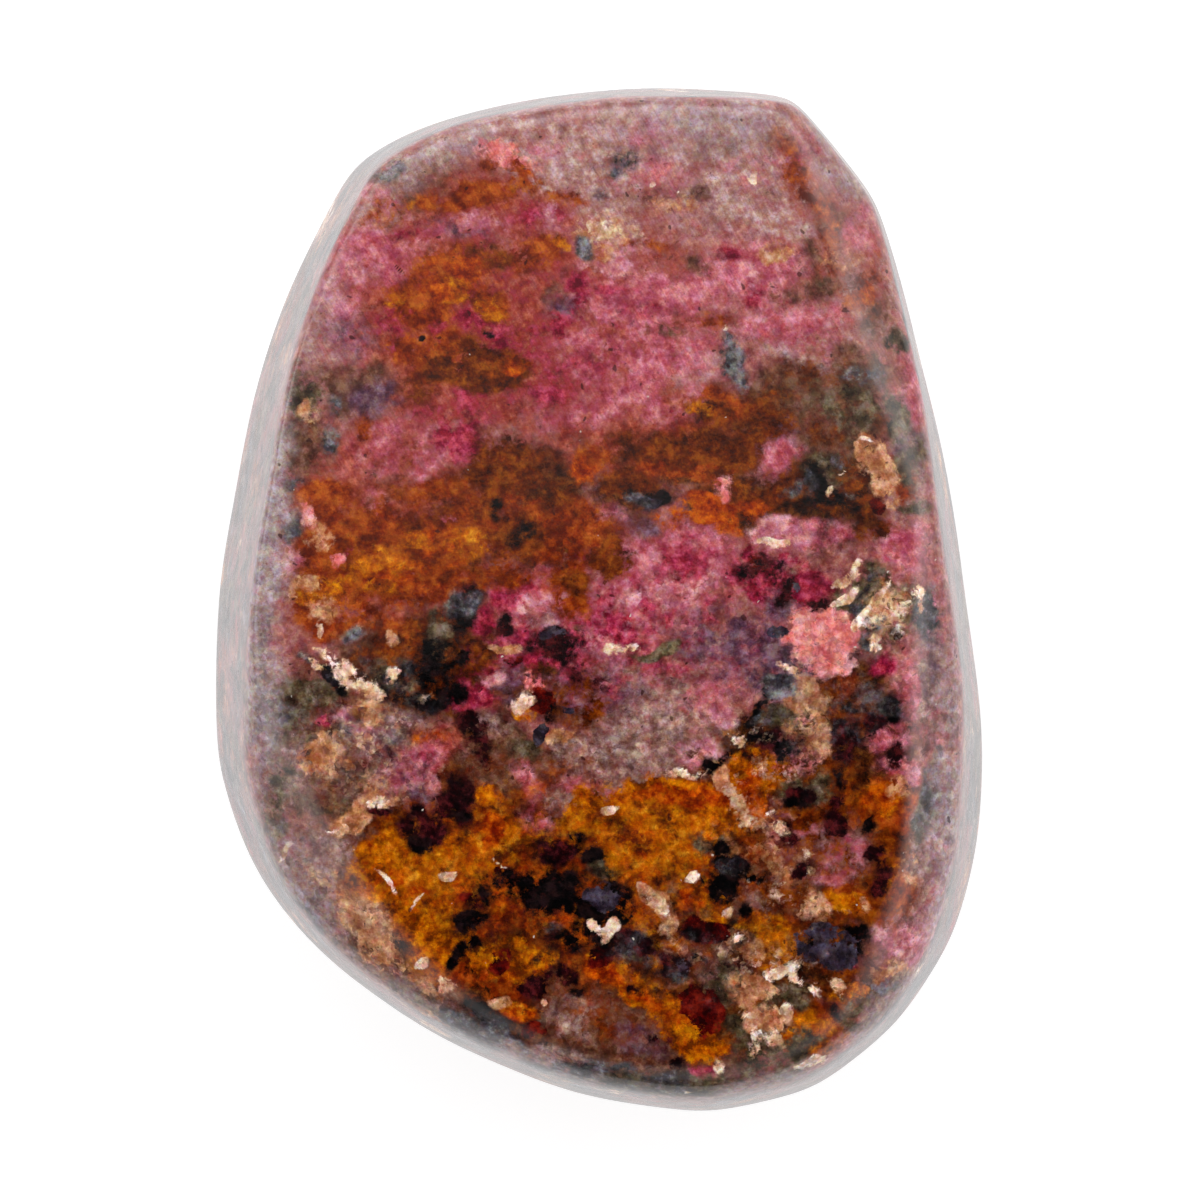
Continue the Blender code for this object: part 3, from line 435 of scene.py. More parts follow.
        (10.7, 3.6, 1, 0.3, -15, 0.9), (12, -4.3, 0.9, 0.3, -20, 0.8),
        (-16.2, -14.1, 0.9, 0.4, -10, 0.9), (0.5, -13.1, 0.6, 0.35, 20, 0.95),
        (5.4, -10.7, 1.4, 0.3, 0, 0.8), (9.2, -13.8, 0.6, 0.4, 0, 0.9), (0.5, -20.8, 0.9, 0.4, 55, 1.1),
        (-9.6, -24, 0.8, 0.4, 0, 0.8), (-11.2, -22.6, 0.4, 0.4, 0, 0.7), (9.4, -28.3, 0.7, 0.5, 0, 0.8),
        (13.3, -28.7, 1.3, 0.3, 25, 0.8), (7.3, -28.8, 0.6, 0.4, 0, 0.8), (11, -14.3, 1.1, 0.5, 0, 0.6),
        (8.7, -8.7, 0.6, 0.25, 15, 0.9), (14.4, -23.9, 1.3, 0.4, 0, 0.7),
        (-4.9, -6.3, 0.6, 0.6, 0, 0.7), (11.3, -17.5, 0.9, 0.4, 0, 0.7), (0.6, 23.2, 2.2, 1.3, 0, 0.5),
        (18.3, -0.6, 1.8, 2.2, 0, 0.5), (-14, -9, 6, 6, 0, 0.3), (9, -9, 6, 4, 0, 0.3),
        (-16.5, -3.6, 1.2, 0.5, -35, 0.7), (-0.4, -20.5, 0.7, 0.3, -30),
        (9.4, -26, 1.8, 0.5, -55, 0.85), (10.8, -27.2, 1.2, 0.6, -30, 0.8),
        (11.8, -25.6, 0.5, 0.5, 0, 0.8), (15.4, 1.5, 1.1, 0.4, 25), (15, 0.2, 0.9, 0.3, 40, 0.9),
        (16.3, -1.2, 1.3, 0.3, 50, 0.85), (17.6, 0.7, 1.5, 0.3, 50, 0.8),
        (18.7, -0.6, 1.6, 0.3, 60, 0.8), (17.3, -2.2, 1, 0.3, 40, 0.75), (17, -0.2, 1.2, 0.3, 48, 0.75),
        (11.2, -22.9, 1.1, 0.28, 15, 0.85), (5.5, -17.6, 0.5, 0.28, 0, 0.95),
        (8.3, -19.2, 0.3, 0.3, 0, 0.7), (3.5, -19, 1.2, 0.3, -60, 0.85),
        (8, -12.2, 1.2, 0.28, -58, 0.8), (8.9, -21, 0.8, 0.3, -45, 0.75),
        (12.4, -23.4, 1.2, 0.22, -30, 0.8), (10.4, -13.6, 1, 0.3, 30, 0.7),
        (9, -26, 1.4, 0.25, -60, 0.8), (-13.9, -12.6, 1.2, 0.5, 20, 0.62),
        (-19.4, -16, 0.7, 0.2, 40, 0.7), (5.3, -30.6, 0.5, 0.2, 0, 0.8),
        # The tiny cream fleck at (-3.7, -24.8) is a painted highlight: a white glint put in as cream.
        (-3.7, -24.8, 0.25, 0.2, 0, 0.8), (-1, -4, 6, 4, 0, 0.22), (13, -17.5, 4, 4, 0, 0.3),
        (10, -21, 8, 6, 0, 0.27), (15.4, 8.2, 0.5, 0.2, 40, 0.8), (14.3, 6.7, 0.45, 0.18, 30, 0.8),
        (16.4, 9.6, 0.5, 0.2, -30, 0.7), (-17.2, -1.7, 0.32, 0.4, 30, 0.9),
        (-15.4, -4.6, 1.7, 0.75, -35, 0.85), (-13.2, -17.4, 0.9, 0.2, -50, 0.8),
        (-9.3, -17.2, 0.6, 0.18, 10, 0.8), (-11.4, -18.8, 0.8, 0.18, 40, 0.7),
        (-6.2, -16.4, 1.3, 0.16, -50, 0.62), (6.9, 29.9, 1.6, 0.12, 3, 0.6),
        (9.3, 26.2, 0.25, 0.2, 0, 0.8), (4.6, 25.3, 0.2, 0.15, 0, 0.8), (3.2, 25.7, 0.18, 0.15, 0, 0.8),
    ),
    # Painted reflection: pale veils along the rims and shoulders, where the polish mirrors the bright
    # table.
    Mineral.HAZE: patches(
        (-20.2, 12, 1, 3, -10, 0.7), (21.5, -14, 1.1, 7.5, -4, 0.72), (-20.9, 4, 1.7, 8, -4),
        (-21.2, -6, 1.3, 6, 0, 0.85), (11, -30.2, 4.5, 0.8, 12, 0.55), (6.5, 29.6, 6.5, 1.7, -3, 0.62),
        (-9.5, 28, 4, 1.1, 30, 0.5), (14.6, 26.6, 3.4, 1.1, -60, 0.5), (-17.2, 18, 1.2, 4, -14, 0.45),
        (-19, -17, 1.6, 5.5, 30, 0.47), (-12.8, -24.8, 5, 1.3, -36, 0.46),
        (17.3, -26.3, 4, 1.1, 52, 0.5), (-5, -28.6, 4.5, 0.9, -20, 0.33), (21.4, 5, 0.9, 5, 5, 0.42),
        (21.9, -6, 0.8, 5, -2, 0.6),
    ),
}


@dataclass(frozen=True)
class Look:
    """How a mineral looks: its tones in 0 to 255, how far its edge fades, how much of it there is deep
    in the rock and how ragged it is."""

    dark: Colour
    middle: Colour
    light: Colour
    softness: float = 0.1
    wild: float = 0.0
    ragged: float = 1.0


LOOKS: Mapping[Mineral, Look] = {
    Mineral.EARTH: Look((30, 10, 2), (74, 33, 8), (118, 68, 28), 0.3, 0.3, 0.4),
    Mineral.BRICK: Look((120, 38, 28), (158, 70, 54), (192, 108, 92), 0.4, 0.3, 0.6),
    Mineral.GREIGE: Look((150, 106, 103), (182, 140, 135), (210, 180, 177), 0.5, 0.3),
    Mineral.BROWN: Look((72, 40, 28), (104, 66, 50), (144, 104, 86), 0.45, 0.3),
    Mineral.ROSE: Look((160, 66, 84), (194, 103, 118), (220, 148, 158), 0.45, 0.3),
    Mineral.GREY: Look((114, 80, 76), (154, 118, 112), (190, 160, 152), 0.4, 0.5),
    Mineral.PLUM: Look((76, 44, 62), (110, 74, 90), (142, 112, 124), 0.45, 0.3),
    Mineral.MAGENTA: Look((102, 6, 34), (154, 36, 66), (198, 82, 108), 0.36, 0.15),
    Mineral.BLUSH: Look((170, 88, 104), (200, 126, 138), (226, 172, 178), 0.28),
    Mineral.RUST: Look((98, 28, 0), (146, 58, 6), (184, 96, 30), 0.34, 0.3),
    Mineral.UMBER: Look((64, 20, 0), (108, 45, 0), (148, 77, 14), 0.28, 0.2),
    Mineral.AMBER: Look((104, 46, 0), (170, 86, 0), (210, 130, 8), 0.2, 0.15),
    Mineral.GOLD: Look((164, 84, 0), (204, 116, 4), (232, 156, 40), 0.24),
    Mineral.EMBER: Look((118, 32, 0), (166, 66, 0), (204, 104, 12), 0.26, 0.1),
    Mineral.OLIVE: Look((50, 38, 26), (90, 74, 54), (134, 118, 98), 0.3, 0.5),
    Mineral.CORAL: Look((214, 110, 110), (234, 148, 145), (245, 182, 177), 0.18),
    Mineral.PEACH: Look((158, 98, 62), (196, 140, 102), (222, 178, 144), 0.2, 0.2),
    Mineral.GARNET: Look((40, 0, 2), (84, 6, 4), (130, 34, 18), 0.12),
    Mineral.MAROON: Look((14, 0, 4), (40, 6, 12), (88, 28, 32), 0.26, 0.15),
    Mineral.BLACK: Look((1, 0, 1), (8, 3, 5), (36, 20, 22), 0.28, 0.15),
    Mineral.VIOLET: Look((34, 26, 36), (60, 50, 62), (88, 80, 94), 0.1),
    Mineral.SLATE: Look((38, 34, 40), (82, 78, 83), (142, 138, 142), 0.34, 0.4),
    Mineral.CREAM: Look((190, 144, 112), (228, 194, 166), (250, 234, 220), 0.16, 0.1),
    # The last look is the pale grey of the painted reflection, not a mineral's.
    Mineral.HAZE: Look((150, 132, 134), (172, 155, 157), (194, 180, 181), 0.5, 0.0, 0.3),
}

GROUND_LOOK = Look((144, 78, 80), (170, 103, 101), (194, 134, 130))
"""The dusty rose that everything else lies in."""


@dataclass(frozen=True)
class Face:
    """A face near the top: its azimuth and its lean from +Z in degrees, its distance and sharpness."""

    azimuth: float
    lean: float
    distance: float
    sharpness: float


@dataclass(frozen=True)
class Wall:
    """A side: its azimuth in degrees, its reach at the girth, its lean above it and its sharpness."""

    azimuth: float
    reach: float
    lean: float
    sharpness: float


TABLES = (
    Face(100, 3, 14.9, 50),
    Face(-80, 2, 15.0, 50),
)

SHOULDERS = (
    Face(22.9, 33, 20.0, 90),
    Face(-3, 34, 19.1, 90),
    Face(-21, 36, 22.8, 60),
    Face(-42, 40, 28.1, 50),
    Face(-66, 42, 30.1, 50),
    Face(-92, 44, 29.2, 60),
    Face(-112, 42, 26.2, 60),
    Face(-128, 38, 24.0, 60),
    Face(-146, 32, 21.0, 50),
    Face(-163, 32, 20.9, 50),
    Face(97, 58, 29.9, 90),
    Face(118, 62, 29.7, 70),
    Face(-35, 62, 28.8, 60),
    Face(-60, 62, 31.2, 60),
    Face(-90, 64, 30.5, 60),
    Face(-116, 62, 27.3, 60),
    Face(-136, 60, 26.0, 60),
)

WALLS = (
    Wall(99, 31.9, 86, 110),
    Wall(88, 32.5, 86, 90),
    Wall(70, 34.1, 87, 60),
    Wall(38.5, 29.3, 88, 120),
    Wall(20, 24.95, 88.5, 100),
    Wall(13.5, 23.2, 87, 120),
    Wall(7.5, 22.9, 84.5, 120),
    Wall(-3, 24.75, 82, 120),
    Wall(-15, 27.25, 82, 90),
    Wall(-32, 30.4, 84, 90),
    Wall(-52, 32.9, 85, 90),
    Wall(-76, 33.5, 85, 90),
    Wall(-98, 31.5, 85, 90),
    Wall(-112, 29.8, 85, 90),
    Wall(-124, 28.8, 85, 90),
    Wall(-136, 28.2, 84, 90),
    Wall(-149, 27.45, 83, 90),
    Wall(-163, 26.0, 81, 90),
    Wall(180, 24.05, 80.5, 110),
    Wall(170, 23.7, 80.5, 110),
    Wall(161, 24.9, 81.5, 110),
    Wall(152.5, 26.45, 82.5, 110),
    Wall(127, 31.25, 84, 80),
    Wall(110, 31.95, 86, 80),
)


def smooth_step(low: float, high: float, values: Array) -> Array:
    """Rises from 0 at low to 1 at high along 3t^2 - 2t^3, with t the share of the way.

    Args:
        low: Where the rise starts. It may lie above high, and the step then falls.
        high: Where the rise ends.
        values: The values to step.

    Returns:
        The step at each value.
    """
    share = np.clip((values - low) / (high - low), 0, 1)
    return share * share * (3 - 2 * share)


def drift(points: Array, size: float, seed: int) -> Array:
    """A smooth wander through space: a sum of plane waves with random headings and phases.

    Args:
        points: Places, one row each, in millimetres.
        size: The usual length of a wave, in millimetres.
        seed: Which wander this is.

    Returns:
        One value a point, about -1 to 1 with a mean of 0.
    """
    waves = 20
    random = np.random.default_rng(seed)
    headings = random.normal(size=(waves, 3))
    headings /= np.linalg.norm(headings, axis=1)[:, None]
    pitch = 2 * math.pi / (size * random.uniform(0.7, 1.6, waves))
    phases = random.uniform(0, 2 * math.pi, waves)
    return np.cos(points @ (headings * pitch[:, None]).T + phases).sum(axis=1) / math.sqrt(2 * waves)


@dataclass(frozen=True)
class GroundSkin:
    """The skin that a grinding wheel leaves: facets whose edges are worn to their own sharpness.

    A point lies on the skin where the shares of its way to every facet's plane, each raised to that
    facet's sharpness, add up to one.
    """

    core_height: float = 11.0
    table_height: float = 15.0
    undercut_lean: float = 108
    undercut_sharpness: float = 60
    heel_lean: float = 138
    heel_inset: float = 6.5
    heel_sharpness: float = 30
    back_sharpness: float = 200
    newton_steps: int = 12
    least_share: float = 1e-9

    @staticmethod
    def plane(azimuth: float, lean: float, across: float, height: float, sharpness: float) -> tuple:
        """One facet's plane, through the point that lies across the stone and above the core.

        Args:
            azimuth: Which way the facet faces, in degrees.
            lean: How far it leans from +Z, in degrees.
            across: How far that point lies from the core across the stone.
            height: How far that point lies above the core.
            sharpness: How crisp the facet's edges are.

        Returns:
            The normal's three parts, the distance from the core and the sharpness.
        """
        turn, tip = math.radians(azimuth), math.radians(lean)
        normal = (math.sin(tip) * math.cos(turn), math.sin(tip) * math.sin(turn), math.cos(tip))
        return (*normal, across * math.sin(tip) + height * math.cos(tip), sharpness)

    def planes(self) -> Array:
        """Every facet of the stone, one row of plane() each."""
        rows = [self.plane(0, 180, 0, -self.core_height, self.back_sharpness)]
        for face in TABLES:
            tip = math.radians(face.lean)
            across, height = face.distance * math.sin(tip), face.distance * math.cos(tip)
            rows.append(self.plane(face.azimuth, face.lean, across, height, face.sharpness))
        for face in SHOULDERS:
            height = self.table_height
            rows.append(self.plane(face.azimuth, face.lean, face.distance, height, face.sharpness))
        for wall in WALLS:
            foot = wall.reach - self.heel_inset
            under, heel = self.undercut_sharpness, self.heel_sharpness
            rows.append(self.plane(wall.azimuth, wall.lean, wall.reach, 0, wall.sharpness))
            rows.append(self.plane(wall.azimuth, self.undercut_lean, wall.reach, 0, under))
            rows.append(self.plane(wall.azimuth, self.heel_lean, foot, -self.core_height, heel))
        return np.array(rows)

    def reach(self, directions: Array) -> Array:
        """How far the skin lies from the core, by Newton's method on logs.

        Args:
            directions: Unit vectors from the core, one row each.

        Returns:
            The distance along each.
        """
        planes = self.planes()
        normals, distances, sharpness = planes[:, :3], planes[:, 3], planes[:, 4]
        log_share = np.log(np.maximum(directions @ normals.T, self.least_share) / distances)
        log_reach = -log_share.max(axis=1)
        for _ in range(self.newton_steps):
            power = sharpness * (log_share + log_reach[:, None])
            top = power.max(axis=1)
            weight = np.exp(power - top[:, None])
            total = weight.sum(axis=1)
            slope = (sharpness * weight).sum(axis=1) / total
            log_reach -= (top + np.log(total)) / slope
        return np.exp(log_reach)


class Wire:
    """A socket of a material. Its operators add Math nodes, so shader maths reads as an expression."""

    def __init__(self, graph: "Graph", socket: Any) -> None:
        """Holds the socket and the graph that new nodes go into."""
        self.graph = graph
        self.socket = socket

    def __add__(self, other: "Wire | float") -> "Wire":
        """self + other."""
        return self.graph.math("ADD", self, other)

    def __sub__(self, other: "Wire | float") -> "Wire":
        """self - other."""
        return self.graph.math("SUBTRACT", self, other)

    def __rsub__(self, other: float) -> "Wire":
        """other - self."""
        return self.graph.math("SUBTRACT", other, self)

    def __mul__(self, other: "Wire | float") -> "Wire":
        """self * other."""
        return self.graph.math("MULTIPLY", self, other)

    __radd__ = __add__
    __rmul__ = __mul__


class Graph:
    """The nodes of one material or world."""

    def __init__(self, tree: bpy.types.NodeTree) -> None:
        """Starts from an empty tree."""
        tree.nodes.clear()
        self.tree = tree

    def node(
        self,
        kind: str,
        settings: Mapping[str, Any] | None = None,
        sockets: Mapping[str | int, Any] | None = None,
        out: str | int = 0,
    ) -> Wire:
        """Adds a node.

        Args:
            kind: The node's type.
            settings: Its settings, which are set first. A ramp's stops are pairs of place and colour.
            sockets: Values or wires for its sockets, by name or number.
            out: The output that is wanted, by name or number.

        Returns:
            That output.
        """
        made = self.tree.nodes.new(kind)
        for name, value in (settings or {}).items():
            if name == "stops":
                self.set_stops(made.color_ramp, value)
            else:
                setattr(made, name, value)
        for name, value in (sockets or {}).items():
            if isinstance(value, Wire):
                self.tree.links.new(value.socket, made.inputs[name])
            else:
                made.inputs[name].default_value = value
        return Wire(self, made.outputs[out] if made.outputs else None)

    @staticmethod
    def set_stops(ramp: bpy.types.ColorRamp, stops: tuple) -> None:
        """Gives a colour ramp its stops, in order."""
        while len(ramp.elements) < len(stops):
            ramp.elements.new(1.0)
        for element, (place, colour) in zip(ramp.elements, stops):
            element.position = place
            element.color = colour

    def math(self, operation: str, *values: Wire | float) -> Wire:
        """A Math node on values and wires."""
        return self.node("ShaderNodeMath", {"operation": operation}, dict(enumerate(values)))

    def step(self, value: Wire, low: float, high: float) -> Wire:
        """A smooth rise from 0 at low to 1 at high."""
        settings = {"interpolation_type": "SMOOTHSTEP"}
        return self.node("ShaderNodeMapRange", settings, {0: value, 1: low, 2: high})

    def blend(self, share: Wire | float, first: Any, second: Any, way: str = "MIX") -> Wire:
        """Mixes two colours.

        Args:
            share: How much of the second colour there is.
            first: The colour underneath.
            second: The colour on top.
            way: The Mix node's blend type.

        Returns:
            The mixed colour.
        """
        settings = {"data_type": "RGBA", "blend_type": way}
        return self.node("ShaderNodeMix", settings, {0: share, 6: first, 7: second}, 2)

    def noise(self, place: Wire, size: float, detail: float = 3, rough: float = 0.55, out: int = 0) -> Wire:
        """A Noise Texture.

        Args:
            place: Where it is read, in millimetres.
            size: The size of its largest lumps, in millimetres.
            detail: How many finer layers it has.
            rough: How strong each finer layer is.
            out: 0 for its value, which is about 0.5, or 1 for three such values as a colour.

        Returns:
            The value or colour.
        """
        sockets = {"Vector": place, "Scale": 1 / size, "Detail": detail, "Roughness": rough}
        return self.node("ShaderNodeTexNoise", None, sockets, out)

    def parts(self, field_of_three: Wire) -> list[Wire]:
        """The three parts of a colour or of a vector."""
        apart = self.node("ShaderNodeSeparateColor", None, {0: field_of_three}).socket.node
        return [Wire(self, socket) for socket in apart.outputs]

    def shift(self, place: Wire, by: Any) -> Wire:
        """A place moved by a vector."""
        return self.node("ShaderNodeVectorMath", {"operation": "ADD"}, {0: place, 1: by})

    def scaled(self, place: Wire, by: float) -> Wire:
        """A vector times a number."""
        return self.node("ShaderNodeVectorMath", {"operation": "SCALE"}, {0: place, "Scale": by})


def linear(colour: Colour) -> tuple[float, float, float, float]:
    """A screen colour in 0 to 255 as the linear colour that sockets take."""
    shares = [part / 255 for part in colour]
    parts = [s / 12.92 if s <= 0.04045 else ((s + 0.055) / 1.055) ** 2.4 for s in shares]
    return (*parts, 1.0)


@dataclass(frozen=True)
class PolishedRock:
    """The finish of the stone: its minerals over each other, their grain, and the worn polish."""

    grain_size: float = 0.75
    fine_grain_size: float = 0.3
    bend_size: float = 0.9
    edge_size: float = 1.7
    tone_size: float = 0.9
    hue_size: float = 0.5
    wander: float = 4.5
    speckle: float = 0.4
    contrast: float = 1.1
    roughness: float = 0.18
    roughness_swing: float = 0.14
    flank_roughness: float = 0.08
    refraction: float = 1.6
    polish_size: float = 1.2
    scratch_size: float = 0.5
    scratch_strength: float = 0.06
    scratch_depth: float = 0.2 * MM_TO_M
    field_gap: tuple[float, float, float] = (7.3, -31.1, 5.7)
    field_growth: float = 0.35
    field_rough: float = 0.68
    tone_stops: tuple[float, float, float] = (0.38, 0.5, 0.62)
    tone_gain: Colour = (0.7, 2.55, 2.55)
    tone_base: Colour = (0.775, -0.17, -0.17)
    warm_tint: Colour = (1.05, 1.02, 0.8)
    cool_tint: Colour = (1.0, 0.92, 1.12)
    pore_share: float = 0.45
    pore_colour: Colour = (60, 20, 16)
    speck_colour: Colour = (48, 12, 14)
    # Painted highlight: the white of the glints.
    painted_glint_colour: Colour = (238, 226, 214)
    # Painted reflection: the pale grey that the steep flanks mirror from the bright table.
    painted_reflection_colour: Colour = (186, 184, 190)
    # Painted shade: the dark of small hollows in the flanks.
    pit_shade_colour: Colour = (70, 58, 58)
    painted_reflection: float = 0.26
    speck_share: float = 0.75
    painted_glint_share: float = 0.8
    pit_shade_share: float = 0.75
    tint_rise: tuple[float, float] = (0.36, 0.64)
    pore_rise: tuple[float, float] = (0.4, 0.3)
    pit_shade_rise: tuple[float, float] = (0.42, 0.56)
    spot_edge: float = 0.07
    specks: tuple[float, float] = (0.9, 0.22)
    # Cells of the painted highlights (glints), then of the painted shade in the flanks' hollows.
    painted_glints: tuple[float, float] = (1.0, 0.115)
    pit_shades: tuple[float, float] = (0.75, 0.34)
    streak_turn: float = -60
    streak_size: tuple[float, float, float] = (1.6, 0.13, 1.0)
    streak_strength: float = 0.18
    grain_strength: float = 0.42
    narrow_end: tuple[float, float] = (-6, 12)
    narrow_streak_gain: float = 0.5
    narrow_grain_loss: float = 0.28

    def fields(self, graph: Graph, place: Wire, size: float, detail: float) -> list[Wire]:
        """Noise fields that don't follow each other.

        Args:
            graph: The material's nodes.
            place: Where they are read, in millimetres.
            size: The size of the first fields' lumps, in millimetres. The others' are a little larger.
            detail: How many finer layers they have.

        Returns:
            Twelve fields, each about 0.5, of which the last six are the first six turned over.
        """
        found = []
        for number in range(2):
            moved = graph.shift(place, tuple(number * part for part in self.field_gap))
            lumps = size * (1 + self.field_growth * number)
            found += graph.parts(graph.noise(moved, lumps, detail, self.field_rough, 1))
        return found + [1 - one for one in found]

    def colour_of(self, graph: Graph, look: Look, tone: Wire) -> Wire:
        """A mineral's own colour, which wanders between its three tones.

        Args:
            graph: The material's nodes.
            look: Its tones.
            tone: A noise field.

        Returns:
            The colour.
        """
        colours = (linear(look.dark), linear(look.middle), linear(look.light))
        stops = tuple(zip(self.tone_stops, colours))
        return graph.node("ShaderNodeValToRGB", {"stops": stops}, {0: tone})

    def cover_of(self, graph: Graph, mineral: Mineral, broken: Wire) -> Wire:
        """Where a mineral shows: its laid-out weight, broken up at the edge.

        Args:
            graph: The material's nodes.
            mineral: The mineral.
            broken: A field about 1 that breaks the edge up.

        Returns:
            0 where it is hidden and 1 where it shows.
        """
        weight = graph.node("ShaderNodeAttribute", {"attribute_name": mineral.value}, None, "Fac")
        look = LOOKS[mineral]
        if look.ragged < 1:
            broken = broken * look.ragged + (1 - look.ragged)
        return graph.step(weight * broken, 0.5 - look.softness, 0.5 + look.softness)

    def material(self) -> bpy.types.Material:
        """The finished material."""
        made = bpy.data.materials.new("polished_rhodonite")
        made.use_nodes = True
        graph = Graph(made.node_tree)
        spot = graph.node("ShaderNodeTexCoord", None, None, "Object")
        place = graph.scaled(spot, 1 / MM_TO_M)
        bend = graph.noise(place, self.bend_size, 2, 0.5, 1)
        bend = graph.scaled(graph.shift(bend, (-0.5, -0.5, -0.5)), self.bend_size)
        bent = graph.shift(place, bend)
        shares = []
        for size in (self.grain_size, self.fine_grain_size):
            sockets = {"Vector": bent, "Scale": 1 / size}
            shares += graph.parts(graph.node("ShaderNodeTexVoronoi", None, sockets, "Color"))
        waves = self.fields(graph, place, self.edge_size, detail=5)
        breaks = [
            (1 - self.wander / 2 - self.speckle / 2) + wave * self.wander + shares[n % 6] * self.speckle
            for n, wave in enumerate(waves)
        ]
        tones = self.fields(graph, place, self.tone_size, detail=4)
        colour = self.colour_of(graph, GROUND_LOOK, tones[0])
        for number, mineral in enumerate(Mineral):
            cover = self.cover_of(graph, mineral, breaks[number % 12])
            laid = self.colour_of(graph, LOOKS[mineral], tones[(number * 5 + 1) % 12])
            colour = graph.blend(cover, colour, laid)
        flank = graph.node("ShaderNodeAttribute", {"attribute_name": "flank"}, None, "Fac")
        colour = self.grained(graph, colour, place, bent, flank, shares)
        swing = (graph.noise(place, self.polish_size, 3, 0.6) - 0.5) * self.roughness_swing
        rough = swing + flank * self.flank_roughness + self.roughness
        scratched = {
            "Height": graph.noise(place, self.scratch_size, 3, 0.7),
            "Strength": self.scratch_strength,
            "Distance": self.scratch_depth,
        }
        sockets = {
            "Base Color": colour,
            "Roughness": rough,
            "Normal": graph.node("ShaderNodeBump", None, scratched),
            "IOR": self.refraction,
            "Metallic": 0.0,
        }
        shader = graph.node("ShaderNodeBsdfPrincipled", None, sockets)
        graph.node("ShaderNodeOutputMaterial", None, {"Surface": shader})
        return made

    def spots(self, graph: Graph, place: Wire, size: float, common: float) -> Wire:
        """Scattered specks, one at most in each cell of rock.

        A cell's speck is a ball whose radius is its random number less what makes specks scarce.

        Args:
            graph: The material's nodes.
            place: Where on the stone, in millimetres.
            size: The width of a cell, in millimetres.
            common: How common they are, as the largest radius in cells.

        Returns:
            0 off the specks and 1 on them.
        """
        sockets = {"Vector": place, "Scale": 1 / size}
        away = graph.node("ShaderNodeTexVoronoi", None, sockets, "Distance")
        cell = Wire(graph, away.socket.node.outputs["Color"])
        radius = graph.parts(cell)[0] * 0.5 - (0.5 - common)
        return graph.step(radius - away, 0, self.spot_edge)

    def grained(
        self, graph: Graph, colour: Wire, place: Wire, bent: Wire, flank: Wire, shares: list[Wire]
    ) -> Wire:
        """Breaks the colour up: fine hues, the streaks that polishing drags and specks. Then it paints
        light and
        shade into it: white glints as painted highlights, a pale grey painted reflection on the flanks and
        painted shade in small hollows there.

        Args:
            graph: The material's nodes.
            colour: The minerals' colour.
            place: Where on the stone, in millimetres.
            bent: The same place, bent by noise.
            flank: 0 on the best face and its shoulders and 1 on the steep flanks and the back.
            shares: Random numbers of the large grains, then of the fine ones.

        Returns:
            The grained colour.
        """
        colour = graph.node("ShaderNodeGamma", None, {0: colour, 1: self.contrast})
        value, warmth, depth = graph.parts(graph.noise(place, self.hue_size, 3, 0.8, 1))
        sockets = {0: value, 1: self.tone_gain, 2: self.tone_base}
        tone = graph.node("ShaderNodeVectorMath", {"operation": "MULTIPLY_ADD"}, sockets)
        colour = graph.blend(1.0, colour, tone, "MULTIPLY")
        cool = graph.step(warmth, *self.tint_rise)
        tint = graph.blend(cool, (*self.warm_tint, 1), (*self.cool_tint, 1))
        colour = graph.blend(1.0, colour, tint, "MULTIPLY")
        pores = graph.step(depth, *self.pore_rise) * self.pore_share
        colour = graph.blend(pores, colour, linear(self.pore_colour))
        turn = (0, 0, math.radians(self.streak_turn))
        sockets = {"Vector": place, "Rotation": turn, "Scale": self.streak_size}
        turned = graph.node("ShaderNodeMapping", {"vector_type": "TEXTURE"}, sockets)
        narrow = graph.node("ShaderNodeSeparateXYZ", None, {0: place}, 1)
        narrow = graph.step(narrow, *self.narrow_end)
        drag = self.streak_strength + self.narrow_streak_gain * narrow
        drag = (graph.noise(turned, 1.0, 2, 0.5) - 0.5) * drag
        mosaic = self.grain_strength - self.narrow_grain_loss * narrow
        mosaic = (shares[1] + shares[4] - 1) * mosaic
        colour = graph.blend(1.0, colour, 1 + drag + mosaic, "MULTIPLY")
        specks = self.spots(graph, bent, *self.specks) * self.speck_share
        colour = graph.blend(specks, colour, linear(self.speck_colour))
        # Painted highlights: small white glints where the polish would catch the light.
        painted_glints = self.spots(graph, bent, *self.painted_glints) * (1 - flank)
        colour = graph.blend(painted_glints * self.painted_glint_share, colour, linear(self.painted_glint_colour))
        # Painted reflection: the steep flanks are greyed towards pale grey, as if mirroring the bright
        # table.
        colour = graph.blend(flank * self.painted_reflection, colour, linear(self.painted_reflection_colour))
        # Painted shade: dark spots for the shaded hollows in the flanks.
        pit_shades = self.spots(graph, bent, *self.pit_shades) * flank * graph.step(value, *self.pit_shade_rise)
        return graph.blend(pit_shades * self.pit_shade_share, colour, linear(self.pit_shade_colour))


